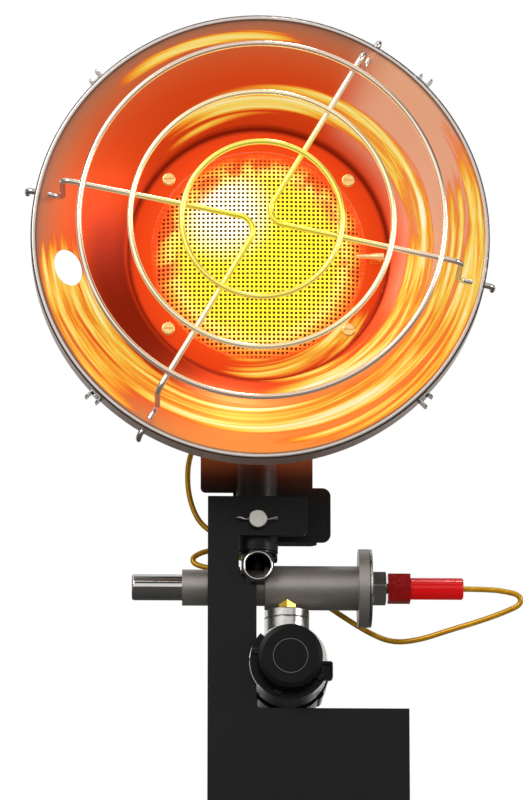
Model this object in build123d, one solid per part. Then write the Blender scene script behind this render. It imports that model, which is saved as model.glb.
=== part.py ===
from build123d import *
import math
import os

# Radiant propane heater that screws onto the outlet of a gas cylinder. All lengths in millimetres.
# X runs to the viewer's right, Y away from the viewer, Z up. The origin lies on the hand nut's
# axis, in the plane of its open mouth, where the cylinder valve enters.

# ---------------------------------------------------------------- driving dimensions
# Places. Depths are measured from the nut's mouth towards the viewer, so a depth is -Y.
HEAD_X = -18.5                # burner head's axis, left of the nut's axis
HEAD_Z = 241.0                # height of the head's axis over the nut's axis
TUBE_DEPTH = 41.0             # burner tube and safety valve share this depth
VALVE_Z = 46.7                # safety valve's axis
SHEET_GAP = 1.25              # bracket plate behind, stand-off of the arm in front

# Reflector
RIM_R = 133.7                 # outside radius of the skirt
RIM_DEPTH = 115.5             # frontmost point of the rolled rim
RIM_LIP = 2.7                 # width of the flat on the rolled rim
RIM_BEND = 1.4
SKIRT_LENGTH = 16.5
BOWL_STEP = 4.0               # step from the flat up to the bowl
BOWL_BULGE = 3.7              # how far the bowl's wall stands behind a straight cone
BOWL_STRAIGHT = 0.04          # share of that arc which is left straight at each end
FLAT_DEPTH = 70.0             # front face of the flat that carries the burner
FLAT_MARGIN = 1.5             # flat outside the burner's flange
FLAT_OVERHANG = 1.0           # flat over the burner cup's edge
REFLECTOR_SHEET = 1.0
SIGHT_HOLE_R = 11.0
SIGHT_HOLE_INSET = 21.0       # from the skirt to the hole's middle
SIGHT_HOLE_ANGLE = 188.0

# Wire guard
WIRE_R = 1.7
RING_STANDOFF = 34.5          # guard rings in front of the rim
WELD_BITE = 0.1               # how far ring and wire sink into each other at a weld
ARM_ANGLES = {"right": (59.6, -12.0), "left": (168.5, 239.6)}
ARM_INSIDE = 16.2             # an arm turns back this far inside the skirt
OUTER_RING_INSIDE = 12.0      # the outer ring inside the bends of the arms
RING_RADII = {"outer": RIM_R - ARM_INSIDE - OUTER_RING_INSIDE, "middle": 76.0, "inner": 46.3}
ARM_OUTSIDE = 4.8             # and its hook stands this far outside it
ARM_BEHIND_RIM = 7.0          # where the arm goes out through the skirt
ARM_HOOK = 7.0
ARM_MIDDLE_BEND = 9.0
ARM_BEND = 5.0
HOOK_BEND = 3.0
WIRE_CLEARANCE = 0.1

# Clips on the skirt
CLIP_ANGLES = (45, 135, 225, 315)
CLIP_BEHIND_RIM = 8.5
CLIP_WIDTH = 7.4
CLIP_LENGTH = 9.0
CLIP_SHEET = 0.9
CLIP_EARS = (6.0, 4.2)        # heights of the long and the short ear
EAR_ROUND = 2.0
RIVET_R = 1.4
RIVET_HEAD_R = 2.4
RIVET_HEAD = 0.9

# Burner
PLENUM_R = 64.5               # outside radius of the drawn cup
PLENUM_SHEET = 0.9
PLENUM_BEND = 6.0
FLANGE_BEND = 2.0
GASKET = 1.0
SCREW_OUTSIDE = 5.35          # circle of the four burner screws, outside the cup
SCREW_ANGLE = 40.65           # their places on it, from the horizontal
FLANGE_EDGE = 5.95            # flange outside that circle
M4_R = 2.0
M4_HEAD_R = 4.0
M4_HEAD = 2.4
M4_NUT_FLATS = 7.0
M4_NUT = 3.2
HOLE_CLEARANCE = 0.2
SCREEN_SHEET = 0.8
SCREEN_FIT = 0.8              # gap between the screen and the cup, and the ring and inner screen
SCREEN_SUNK = 5.8             # the screen's edge behind the flat
SCREEN_SLOPE_WIDTH = 10.3     # steep outer band of the screen
SCREEN_SLOPE_RISE = 4.6
SCREEN_CROWN_RISE = 3.2
SCREEN_BEND = 5.0
SCREEN_RING_WIDTH = 3.0
SCREEN_RING_LENGTH = 2.0
BAFFLE_R = 38.0
BAFFLE_SUNK = 14.0            # behind the flat
BAFFLE_SHEET = 1.0
BAFFLE_POST_R = 2.0
BAFFLE_POST_AT = 30.0

# Burner tube and brackets
TUBE_R = 12.25
TUBE_WALL = 1.2
TUBE_BOTTOM = 67.5
PLATE = 1.8                   # head bracket sheet
PLATE_WIDTH = 66.2            # upper, centred part
PLATE_TOP = 205.0
PLATE_STEP = 106.8            # underside of the upper part
PLATE_ROUND = 3.0
TAB_LEFT = -32.4              # lower part of the head bracket
TAB_RIGHT = 25.2
TAB_TOP = 109.7
TAB_BOTTOM = 77.0
TAB_ROUND = 5.0
LIP_RIGHT = 17.1
LIP_DEPTH = 12.0
LIP_CHAMFER = 3.0
BRACKET = 2.0                 # support bracket sheet
BRACKET_LEFT = -47.7
ARM_RIGHT = 10.6
ARM_TOP = 98.4
ARM_BOTTOM = 74.8
ARM_CHAMFER = 2.2
STRIP_RIGHT = -19.2
FOOT_PLATE_TOP = -27.5
FOOT_PLATE_RIGHT = 69.6
FOOT_BOTTOM = -88.0
FOOT_LENGTH = 18.0
FOOT_BEND = 3.0
STUD_Z = 84.0
STUD_R = 5.4
STUD_COLLAR_R = 8.0
STUD_PROUD = 4.7              # stud in front of the bracket
COTTER_R = 0.6
COTTER_GAP = 0.1
COTTER_HOLE_R = 1.35
COTTER_RISE = 0.8             # the ends stand up from the hole
COTTER_LEFT = -31.2
COTTER_RIGHT = -7.0

# Injector housing under the tube
SPIGOT_CLEARANCE = 0.05
SPIGOT_LENGTH = 6.5
HOUSING_R = 9.4
PORT_Z = 56.0
PORT_DEPTH = 60.0             # front face of the air port's boss
PORT_BOSS_R = 10.2            # octagonal, over its corners
PORT_WINDOW_GAP = 0.9         # bracket round the boss
PORT_R = 7.5
THROAT_R = 8.0
INLET_RING_R = 8.8
INLET_RING_WALL = 1.4
INLET_RING_LENGTH = 2.5
INLET_RING_SEAT = 1.0
JET_FLATS = 5.0
JET_R = 2.0
JET_TOP = 66.0
JET_BORE_R = 0.5
SIDE_SCREW_Z = 64.3
SIDE_SCREW_HEAD_R = 2.6
SIDE_SCREW_HEAD = 2.9
SIDE_SCREW_SEAT = 0.4         # flat cut for the head
M3_R = 1.5
M3_HEAD_R = 2.8               # countersunk

# Safety valve
VALVE_LEFT = -62.5
VALVE_STEP = -14.2
VALVE_RIGHT = 40.6
VALVE_NARROW_R = 10.6
VALVE_WIDE_R = 13.0
VALVE_FLANGE_R = 23.0
VALVE_FLANGE = 6.2
VALVE_CAP_GAP = 0.4
VALVE_CAP = 1.3
BUTTON_R = 7.65
BUTTON_LEFT = -92.1
BUTTON_RIGHT = -50.0
BUTTON_ROUND = 1.6
BUTTON_BORE_END = -38.0
BUTTON_TRAVEL = 5.0
RUNNING_FIT = 0.05
STEM_R = 2.0
STEM_GUIDE_END = -30.0
SEAL_R = 3.2
SEAL_LENGTH = 2.0
OUTLET_CHAMBER_R = 6.0
SEAT_LEFT = -14.0
SEAT_RIGHT = -12.0
SEAT_R = 4.5
INLET_CHAMBER_R = 8.5
POPPET_R = 6.5
POPPET_SEAL = 2.0
POPPET_DISC = 1.5
POPPET_ROD_R = 1.2
ARMATURE_LEFT = 8.0
ARMATURE_R = 4.0
ARMATURE = 2.0
MAGNET_LEFT = 4.0
MAGNET_RIGHT = 40.4
MAGNET_WALL = 1.5
MAGNET_CORE_R = 6.0
MAGNET_GAP = 0.3
SPRING_WIRE_R = 0.5
SENSOR_NUT_FLATS = 18.0
SENSOR_NUT = 7.6
SENSOR_NUT_CHAMFER = 0.5
SENSOR_NUT_STANDOFF = 0.8
SENSOR_NUT_COLLAR = 1.8
TERMINAL_R = 3.0
CAP_SCREW_AT = 17.0
BOOT_GAP = 1.1
BOOT_HEX = 16.3               # across the flats
BOOT_HEX_LENGTH = 13.2
BOOT_R = 6.4
BOOT_RIGHT = 102.3

# Regulator, knob and cylinder connection, all on the nut's axis
NUT_R = 24.0
NUT_LOBES = 10
NUT_LOBE_R = 4.0
NUT_OUT = 25.0                # over the lobes
NUT_FRONT = 31.0              # depth of the nut's closed front face
NUT_NECK_R = 17.0
NUT_TAPER = 6.0
NUT_FRONT_WALL = 5.7
NUT_THREAD_R = 16.67          # 1 5/16 inch cylinder outlet thread
NUT_THREAD_LENGTH = 16.0
NUT_CHAMBER_R = 12.0
NIPPLE_SHANK_R = 7.0
NIPPLE_FLANGE_R = 10.5
NIPPLE_FLANGE = 3.0
NIPPLE_NOSE_R = 6.0           # plain nose, its tip level with the nut's mouth
NIPPLE_MOUTH_R = 3.6
NIPPLE_ROOT_R = 6.2
NIPPLE_ROOT = 8.0
GAS_BORE_R = 2.5
BODY_R = 22.0
BODY_BACK = 32.0
BODY_FRONT = 57.0
BODY_ROUND = 1.5
CHAMBER_R = 18.0
LEDGE_DEPTH = 48.5            # the diaphragm lies on this ledge
CHAMBER_DEPTH = 44.0
DIAPHRAGM = 1.0
NECK_X = -1.2
NECK_DEPTH = 45.0
NECK_R = 13.2
NECK_BOTTOM = 14.0
NECK_TOP = 32.2
NECK_GROOVE_Z = 27.0
NECK_GROOVE = 0.5
OUTLET_R = 5.0                # union between the neck and the safety valve
OUTLET_ROOT = 6.0
OUTLET_FLATS = 10.0
OUTLET_SPIGOT_R = 4.2
OUTLET_GAP = 0.05             # between the union's hexagon and the valve
OUTLET_SUNK = 1.0             # the union's end inside the valve's inlet chamber
BONNET = 4.0                  # flange thickness
BONNET_HUB = 6.0
BONNET_R = 23.2
BONNET_HUB_R = 18.3
BONNET_ARC = (137.0, 345.0)   # the flange runs round this arc only
BONNET_WALL = 2.1
BONNET_SKIRT_BACK = 33.0      # the flange's skirt covers the body back to here
BRACKET_CUT_GAP = 0.35        # bracket round the bonnet
VENT_EAR = (21.0, -6.2, 8.0, 10.8)   # centre x, centre z, width, height
BONNET_SCREW_ANGLES = (165.0, 250.0, 330.0)
BONNET_SCREW_AT = 20.1
BONNET_SCREW_R = 1.25
BONNET_SCREW_HEAD_R = 2.2
BONNET_SCREW_HEAD = 1.5
BONNET_SCREW = 9.5
SPRING_PLATE_R = 9.0
CONTROL_SPRING_R = 5.0
STEM_SHAFT_R = 3.0
STEM_SEAT_R = 6.5
STEM_SEAT = 1.2
STEM_FRONT = 71.0
KNOB_R = 18.75
KNOB_BACK = 64.3
KNOB_FRONT = 75.0
KNOB_BEVEL = 2.6
KNOB_FLUTES = 24
KNOB_FLUTE_R = 1.6
KNOB_FLUTE_DEPTH = 0.5
KNOB_GROOVE_R = 10.0
KNOB_GROOVE = 0.35
KNOB_SLEEVE_R = 6.0
KNOB_WALL = 2.2

# Thermocouple
LEAD_R = 1.6
PROBE_OUTSIDE = 7.0           # the probe comes through the flat this far outside the burner cup
PROBE_Z = -2.0
PROBE_HEIGHT = 5.5            # the sensing arm's axis over the flat
PROBE_ARM = [(2.1, 2.1), (-1.5, 2.1), (-5.5, 1.5), (-14.0, 1.1)]   # (place from the stem, radius)
PROBE_CLIP = (-6.1, 2.5, -5.6, 1.6)     # left and right of the stem, bottom, top
PROBE_CLIP_SHEET = 1.0
LEAD_ROUTE = [                # corners of the lead's route, from the boot to the probe
    (96.0, -41.0, 46.7), (117.0, -41.0, 46.7), (128.6, -40.8, 45.2), (135.7, -40.4, 43.2),
    (136.5, -39.8, 38.0), (128.5, -38.8, 34.2), (114.0, -36.5, 29.0), (95.0, -32.0, 24.0),
    (77.0, -27.0, 18.8), (61.0, -22.5, 18.0), (46.0, -19.2, 25.5), (27.0, -17.0, 38.5),
    (9.0, -17.0, 51.0), (-9.0, -17.5, 61.2), (-25.0, -18.0, 68.5), (-39.5, -19.0, 74.3),
    (-49.0, -20.3, 73.0), (-56.1, -21.5, 69.2), (-55.7, -23.0, 65.0), (-50.0, -24.3, 62.7),
    (-43.9, -25.3, 61.5), (-38.2, -26.0, 64.5), (-35.6, -26.2, 70.3), (-37.4, -26.0, 76.5),
    (-44.4, -25.0, 83.2), (-52.2, -24.0, 89.5), (-57.2, -23.3, 100.5), (-59.5, -22.7, 114.0),
    (-58.5, -22.0, 129.5), (-52.0, -21.2, 143.0), (-38.0, -20.0, 152.5), (-17.0, -18.0, 158.5),
    (6.0, -17.0, 165.0), (28.0, -16.0, 176.5), (45.0, -15.0, 194.0), (54.0, -14.5, 211.0),
    (53.0, -17.0, 227.5), (53.0, -28.5, 239.0), (53.0, -44.0, 239.0)]

# ---------------------------------------------------------------- worked-out values
TUBE_Y = -TUBE_DEPTH
SIDE_VIEW = Rot(0, 90, 0)     # turns a part made along Z so that it runs along +X
FRONT_VIEW = Rot(90, 0, 0)    # turns a part made along Z so that it runs towards the viewer
HEAD = Pos(HEAD_X, 0, HEAD_Z) * FRONT_VIEW
VALVE = Pos(0, TUBE_Y, VALVE_Z) * SIDE_VIEW
PLATE_FRONT = TUBE_DEPTH - TUBE_R                     # depth of the head bracket's front face
RING_DEPTH = RIM_DEPTH + RING_STANDOFF
ARM_BEND_AT = RIM_R - ARM_INSIDE
ARM_END_AT = RIM_R + ARM_OUTSIDE
ARM_THROUGH_DEPTH = RIM_DEPTH - ARM_BEHIND_RIM
CLIP_DEPTH = RIM_DEPTH - CLIP_BEHIND_RIM
SCREW_AT = PLENUM_R + SCREW_OUTSIDE
FLANGE_R = SCREW_AT + FLANGE_EDGE
BOWL_R = FLANGE_R + FLAT_MARGIN                       # radius where the bowl starts
FLAT_OPENING_R = PLENUM_R - FLAT_OVERHANG
CUP_INSIDE_R = PLENUM_R - PLENUM_SHEET
SCREEN_EDGE_R = CUP_INSIDE_R - SCREEN_FIT
SCREEN_EDGE_DEPTH = FLAT_DEPTH - SCREEN_SUNK
INNER_SCREEN_R = CUP_INSIDE_R - SCREEN_RING_WIDTH - SCREEN_FIT
BAFFLE_DEPTH = FLAT_DEPTH - BAFFLE_SUNK
PROBE_X = PLENUM_R + PROBE_OUTSIDE
PROBE_BACK = -LEAD_ROUTE[-1][1]                       # where the lead is joined on
FLAT_BACK = FLAT_DEPTH - REFLECTOR_SHEET
FLANGE_FRONT = FLAT_BACK - GASKET
PLENUM_FLOOR = PLATE_FRONT + PLENUM_SHEET
BRACKET_BACK = TUBE_DEPTH + TUBE_R + SHEET_GAP
BRACKET_FRONT = BRACKET_BACK + BRACKET
STUD_FRONT = BRACKET_FRONT + STUD_PROUD
COTTER_DEPTH = BRACKET_FRONT + 1.8
ARM_DEPTH = RING_DEPTH - 2 * WIRE_R + WELD_BITE
NIPPLE_FLANGE_FRONT = NUT_FRONT - NUT_FRONT_WALL - 0.3
BONNET_FRONT = BODY_FRONT + BONNET_HUB
CAP_BACK = VALVE_RIGHT + VALVE_FLANGE + VALVE_CAP_GAP
SENSOR_NUT_LEFT = CAP_BACK + VALVE_CAP + SENSOR_NUT_STANDOFF
OUTLET_TOP = VALVE_Z - INLET_CHAMBER_R + OUTLET_SUNK
CAP_SCREW_ANGLES = (90, 210, 330)


# ---------------------------------------------------------------- small helpers
def rod(radius, start, end):
    """A round bar along local Z between two heights."""
    low, high = min(start, end), max(start, end)
    return Pos(0, 0, low) * Cylinder(radius, high - low, align=(Align.CENTER, Align.CENTER, Align.MIN))


def ring(outer, inner, start, end):
    return rod(outer, start, end) - rod(inner, start, end)


def hexagon(flats, start, end):
    """A six-sided bar along local Z, given across its flats."""
    low, high = min(start, end), max(start, end)
    return extrude(Pos(0, 0, low) * RegularPolygon(flats / 2, 6, major_radius=False), high - low)


def turned(*points):
    """A solid of revolution about local Z from corners given as (radius, height)."""
    outline = Polyline(*[(r, 0, h) for r, h in points], close=True)
    return revolve(make_face(outline), Axis.Z)


def spun_sheet(points, bends, thickness):
    """A spun or drawn sheet about local Z. The points (radius, height) are its front surface."""
    front = FilletPolyline(*points, radius=bends)
    section = make_face(offset(front, thickness, side=Side.LEFT, closed=True))
    reach = 2 * max(radius for radius, height in points)
    section -= Pos(-reach / 2, 0) * Rectangle(reach, 10 * reach)      # nothing beyond the axis
    return revolve(Plane.XZ * section, Axis.Z)


def wire_along(points, bends, radius):
    """A round wire along straight runs joined by tangent arcs."""
    route = FilletPolyline(*points, radius=bends)
    return sweep(Plane(route @ 0, z_dir=route % 0) * Circle(radius), path=route)


def coil(mean_radius, wire_radius, start, end, turns):
    """An open compression spring along local Z, between two heights."""
    low = start + wire_radius
    high = end - wire_radius
    line = Helix(pitch=(high - low) / turns, height=high - low, radius=mean_radius, center=(0, 0, low))
    return sweep(Plane(line @ 0, z_dir=line % 0) * Circle(wire_radius), path=line, is_frenet=True)


def screw(radius, head_radius, head, length):
    """A pan-head screw along local -Z, its head standing on the plane z = 0."""
    cap = rod(head_radius, 0, head)
    cap = fillet(cap.edges().group_by(Axis.Z)[-1], head * 0.4)
    slot = Box(head_radius * 1.6, 0.7, head * 0.8)
    return cap + rod(radius, -length, 0) - Pos(0, 0, head) * slot


def countersunk(radius, head_radius, head, length):
    """A countersunk screw along local -Z, its head's face in the plane z = 0."""
    cone = Pos(0, 0, -head) * Cone(radius, head_radius, head, align=(Align.CENTER, Align.CENTER, Align.MIN))
    slot = Box(head_radius * 1.6, 0.7, head * 0.8)
    return cone + rod(radius, -length, -head) - slot


def around(angle, distance, height=0.0):
    """A place at an angle and distance from the local axis, with local X pointing outwards."""
    return Rot(0, 0, angle) * Pos(distance, 0, height)


SCREW_PLACES = [(SCREW_AT * math.cos(math.radians(a)), SCREW_AT * math.sin(math.radians(a)))
                for a in (SCREW_ANGLE, 180 - SCREW_ANGLE, 180 + SCREW_ANGLE, -SCREW_ANGLE)]


# ---------------------------------------------------------------- reflector and guard
def bowl_wall():
    """The wall's section is one arc: the corner of its end tangents, its radius and its centre."""
    start = Vector(BOWL_R, FLAT_DEPTH + BOWL_STEP)
    end = Vector(RIM_R - RIM_LIP, RIM_DEPTH)
    half = (end - start).length / 2
    half_turn = 2 * math.atan(BOWL_BULGE / half)
    backwards = Vector((end - start).Y, -(end - start).X).normalized()
    middle = (start + end) * 0.5
    radius = half / math.sin(half_turn)
    corner = middle + backwards * (half * math.tan(half_turn))
    centre = middle - backwards * (radius - BOWL_BULGE)
    return corner, radius, centre


def make_reflector():
    step = 1.0                                        # the step leans outwards a little
    corner, radius, centre = bowl_wall()
    points = [(FLAT_OPENING_R, FLAT_DEPTH), (BOWL_R - step, FLAT_DEPTH),
              (BOWL_R, FLAT_DEPTH + BOWL_STEP), (corner.X, corner.Y),
              (RIM_R - RIM_LIP, RIM_DEPTH), (RIM_R, RIM_DEPTH), (RIM_R, RIM_DEPTH - SKIRT_LENGTH)]
    bends = [0.8, 1.6, radius * (1 - BOWL_STRAIGHT), RIM_BEND, RIM_BEND]
    # walked from the skirt inwards, so that the sheet's thickness goes to the back
    dish = spun_sheet(points[::-1], bends[::-1], REFLECTOR_SHEET)
    for x, z in SCREW_PLACES:
        dish -= Pos(x, z, FLAT_DEPTH) * Cylinder(M4_R + HOLE_CLEARANCE, 4)
    dish -= Pos(PROBE_X, PROBE_Z, FLAT_DEPTH) * Cylinder(LEAD_R + WIRE_CLEARANCE, 4)
    hole_at = RIM_R - SIGHT_HOLE_INSET                # the hole goes square through the wall
    slope = math.asin((hole_at - centre.X) / radius)
    dish -= (around(SIGHT_HOLE_ANGLE, hole_at, centre.Y - radius * math.cos(slope))
             * Rot(0, -math.degrees(slope), 0) * Cylinder(SIGHT_HOLE_R, 30))
    for angles in ARM_ANGLES.values():
        for angle in angles:
            dish -= (around(angle, ARM_BEND_AT, ARM_THROUGH_DEPTH) * SIDE_VIEW
                     * rod(WIRE_R + WIRE_CLEARANCE, 3, 30))
    for angle in CLIP_ANGLES:
        dish -= around(angle, RIM_R, CLIP_DEPTH) * SIDE_VIEW * Cylinder(RIVET_R + WIRE_CLEARANCE, 5)
    return HEAD * dish


def make_guard_ring(radius):
    return HEAD * Pos(0, 0, RING_DEPTH) * Torus(radius, WIRE_R)


def make_guard_wire(angles):
    """One wire: hooked end, out through the skirt, forward, across the middle and back again."""
    def at(angle, distance, depth):
        turn = math.radians(angle)
        return (distance * math.cos(turn), distance * math.sin(turn), depth)

    first, second = angles
    half = [(ARM_END_AT, ARM_THROUGH_DEPTH - ARM_HOOK), (ARM_END_AT, ARM_THROUGH_DEPTH),
            (ARM_BEND_AT, ARM_THROUGH_DEPTH), (ARM_BEND_AT, ARM_DEPTH)]
    points = [at(first, r, d) for r, d in half] + [(0, 0, ARM_DEPTH)]
    points += [at(second, r, d) for r, d in half[::-1]]
    bends = [HOOK_BEND, ARM_BEND, ARM_BEND, ARM_MIDDLE_BEND, ARM_BEND, ARM_BEND, HOOK_BEND]
    return HEAD * wire_along(points, bends, WIRE_R)


def make_rim_clip(angle):
    """A folded clip: a base riveted on the skirt and two ears that point outwards."""
    base = Pos(CLIP_SHEET / 2, 0, 0) * Box(CLIP_SHEET, CLIP_WIDTH, CLIP_LENGTH)
    base -= SIDE_VIEW * Cylinder(RIVET_R + WIRE_CLEARANCE, 5)
    clip = base
    for side, height in zip((-1, 1), CLIP_EARS):
        ear = Pos(height / 2, 0, 0) * Box(height, CLIP_SHEET, CLIP_LENGTH)
        ear = fillet(ear.edges().filter_by(Axis.Y).group_by(Axis.X)[-1], EAR_ROUND)
        clip += Pos(0, side * (CLIP_WIDTH - CLIP_SHEET) / 2, 0) * ear
    return HEAD * around(angle, RIM_R, CLIP_DEPTH) * clip


def make_clip_rivet(angle):
    grip = CLIP_SHEET + REFLECTOR_SHEET
    rivet = rod(RIVET_R, -REFLECTOR_SHEET - 0.1, CLIP_SHEET)
    rivet += rod(RIVET_HEAD_R, CLIP_SHEET, CLIP_SHEET + RIVET_HEAD)
    rivet += rod(RIVET_HEAD_R, CLIP_SHEET - grip - 0.1 - RIVET_HEAD, CLIP_SHEET - grip - 0.1)
    return HEAD * around(angle, RIM_R, CLIP_DEPTH) * SIDE_VIEW * rivet


# ---------------------------------------------------------------- burner
def flange_holes(depth):
    holes = [Pos(x, z, depth) * Cylinder(M4_R + HOLE_CLEARANCE, 6) for x, z in SCREW_PLACES]
    holes.append(Pos(PROBE_X, PROBE_Z, depth) * Cylinder(LEAD_R + WIRE_CLEARANCE, 6))
    return holes


def make_plenum():
    points = [(FLANGE_R, FLANGE_FRONT), (CUP_INSIDE_R, FLANGE_FRONT), (CUP_INSIDE_R, PLENUM_FLOOR),
              (0, PLENUM_FLOOR)]
    cup = spun_sheet(points, [FLANGE_BEND, PLENUM_BEND], PLENUM_SHEET)
    for hole in flange_holes(FLANGE_FRONT):
        cup -= hole
    cup -= Pos(0, -PLENUM_R, TUBE_DEPTH) * Rot(90, 0, 0) * Cylinder(TUBE_R - TUBE_WALL, 12)
    return HEAD * cup


def make_gasket():
    seal = ring(FLANGE_R, FLAT_OPENING_R, FLANGE_FRONT, FLAT_BACK)
    for hole in flange_holes(FLAT_BACK):
        seal -= hole
    return HEAD * seal


def make_screen_ring():
    top = SCREEN_EDGE_DEPTH - SCREEN_SHEET
    return HEAD * ring(CUP_INSIDE_R, CUP_INSIDE_R - SCREEN_RING_WIDTH, top - SCREEN_RING_LENGTH, top)


def make_screen():
    knee = SCREEN_EDGE_DEPTH + SCREEN_SLOPE_RISE
    points = [(SCREEN_EDGE_R, SCREEN_EDGE_DEPTH), (SCREEN_EDGE_R - SCREEN_SLOPE_WIDTH, knee),
              (0, knee + SCREEN_CROWN_RISE)]
    return HEAD * spun_sheet(points, [SCREEN_BEND], SCREEN_SHEET)


def make_inner_screen():
    top = SCREEN_EDGE_DEPTH - SCREEN_SHEET - SCREEN_RING_LENGTH
    return HEAD * rod(INNER_SCREEN_R, top - SCREEN_SHEET, top)


def make_baffle():
    plate = rod(BAFFLE_R, BAFFLE_DEPTH, BAFFLE_DEPTH + BAFFLE_SHEET)
    for angle in (30, 150, 90):
        plate += around(angle, BAFFLE_POST_AT) * rod(BAFFLE_POST_R, PLENUM_FLOOR, BAFFLE_DEPTH)
    return HEAD * plate


def make_burner_screws():
    length = FLAT_DEPTH - FLANGE_FRONT + PLENUM_SHEET + M4_NUT + 1.5
    one = screw(M4_R, M4_HEAD_R, M4_HEAD, length)
    return [HEAD * Pos(x, z, FLAT_DEPTH) * one for x, z in SCREW_PLACES]


def make_burner_nuts():
    top = FLANGE_FRONT - PLENUM_SHEET
    nut = hexagon(M4_NUT_FLATS, top - M4_NUT, top) - rod(M4_R, top - M4_NUT, top)
    return [HEAD * Pos(x, z, 0) * Rot(0, 0, math.degrees(math.atan2(z, x)) + 30) * nut
            for x, z in SCREW_PLACES]


# ---------------------------------------------------------------- burner tube and brackets
def make_burner_tube():
    """Plain tube; its upper end is coped to fit the cup's side."""
    place = Pos(HEAD_X, TUBE_Y, 0)
    tube = place * ring(TUBE_R, TUBE_R - TUBE_WALL, TUBE_BOTTOM, HEAD_Z - PLENUM_R + 10)
    cup = rod(PLENUM_R, PLATE_FRONT, FLANGE_FRONT)
    cup = fillet(cup.edges().group_by(Axis.Z)[0], PLENUM_BEND + PLENUM_SHEET)
    return tube - HEAD * cup


def make_head_bracket():
    half = PLATE_WIDTH / 2
    upper = Polyline((HEAD_X - half, PLATE_STEP), (HEAD_X + half, PLATE_STEP),
                     (HEAD_X + half, PLATE_TOP), (HEAD_X - half, PLATE_TOP), close=True)
    lower = Polyline((TAB_LEFT, TAB_BOTTOM), (TAB_RIGHT, TAB_BOTTOM), (TAB_RIGHT, TAB_TOP),
                     (TAB_LEFT, TAB_TOP), close=True)
    outline = make_face(upper) + make_face(lower)
    corners = outline.vertices().sort_by(Axis.Y)
    outline = fillet([corners[-1], corners[-2]]
                     + [v for v in corners if abs(v.Y - PLATE_STEP) < 0.01 and v.X < TAB_LEFT - 1],
                     PLATE_ROUND)
    outline = fillet([v for v in outline.vertices() if abs(v.X - TAB_RIGHT) < 0.01], TAB_ROUND)
    plate = Pos(0, -PLATE_FRONT, 0) * FRONT_VIEW * extrude(outline, -PLATE)
    lip = Box(LIP_RIGHT - TAB_LEFT, LIP_DEPTH, PLATE, align=(Align.MIN, Align.MIN, Align.MIN))
    lip = chamfer(lip.edges().filter_by(Axis.Z).group_by(Axis.X)[-1].sort_by(Axis.Y)[-1], LIP_CHAMFER)
    lip = fillet(lip.edges().filter_by(Axis.X).group_by(Axis.Z)[0].group_by(Axis.Y)[0], PLATE * 0.9)
    return plate + Pos(TAB_LEFT, -PLATE_FRONT, TAB_BOTTOM) * lip


def make_support_bracket():
    """Flat C-shaped plate: arm over the tube, strip down the left, wide foot plate and foot."""
    outline = Polyline(
        (BRACKET_LEFT, FOOT_PLATE_TOP - 20), (FOOT_PLATE_RIGHT, FOOT_PLATE_TOP - 20),
        (FOOT_PLATE_RIGHT, FOOT_PLATE_TOP), (STRIP_RIGHT, FOOT_PLATE_TOP), (STRIP_RIGHT, ARM_BOTTOM),
        (ARM_RIGHT - ARM_CHAMFER, ARM_BOTTOM), (ARM_RIGHT, ARM_BOTTOM + ARM_CHAMFER),
        (ARM_RIGHT, ARM_TOP), (BRACKET_LEFT, ARM_TOP), close=True)
    face = make_face(outline)
    face = fillet([v for v in face.vertices() if abs(v.Y - FOOT_PLATE_TOP) < 0.01
                   and abs(v.X - STRIP_RIGHT) < 0.01], 3)
    window = PORT_BOSS_R + PORT_WINDOW_GAP            # clears the air port's boss
    slot = 2 * (TUBE_R - TUBE_WALL)
    face -= Pos(HEAD_X, PORT_Z) * Rot(0, 0, 22.5) * RegularPolygon(window, 8)
    face -= Pos(HEAD_X, (PORT_Z + ARM_BOTTOM) / 2) * Rectangle(slot, ARM_BOTTOM - PORT_Z)
    face -= Circle(BONNET_R + BRACKET_CUT_GAP)        # clears the regulator's round cover
    face -= Pos(HEAD_X, STUD_Z) * Circle(STUD_R + HOLE_CLEARANCE)
    plate = Pos(0, -BRACKET_BACK, 0) * FRONT_VIEW * extrude(face, BRACKET)
    low = FOOT_BOTTOM
    bend = FilletPolyline((-BRACKET_FRONT, FOOT_PLATE_TOP - 19), (-BRACKET_FRONT, low),
                          (-BRACKET_FRONT + FOOT_LENGTH, low), radius=FOOT_BEND)
    section = make_face(offset(bend, BRACKET, side=Side.LEFT, closed=True))
    foot = extrude(Plane.YZ * section, FOOT_PLATE_RIGHT - BRACKET_LEFT)
    return plate + Pos(BRACKET_LEFT, 0, 0) * foot


def make_bracket_stud():
    stud = rod(STUD_R, TUBE_DEPTH, STUD_FRONT)
    stud = chamfer(stud.edges().group_by(Axis.Z)[-1], 0.5)
    stud += rod(STUD_COLLAR_R, TUBE_DEPTH, BRACKET_BACK)
    stud -= Pos(0, 0, COTTER_DEPTH) * SIDE_VIEW * Cylinder(COTTER_HOLE_R, 3 * STUD_R)
    tube = Pos(HEAD_X, TUBE_Y, STUD_Z) * Cylinder(TUBE_R, 6 * STUD_R)
    return Pos(HEAD_X, 0, STUD_Z) * FRONT_VIEW * stud - tube


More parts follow.
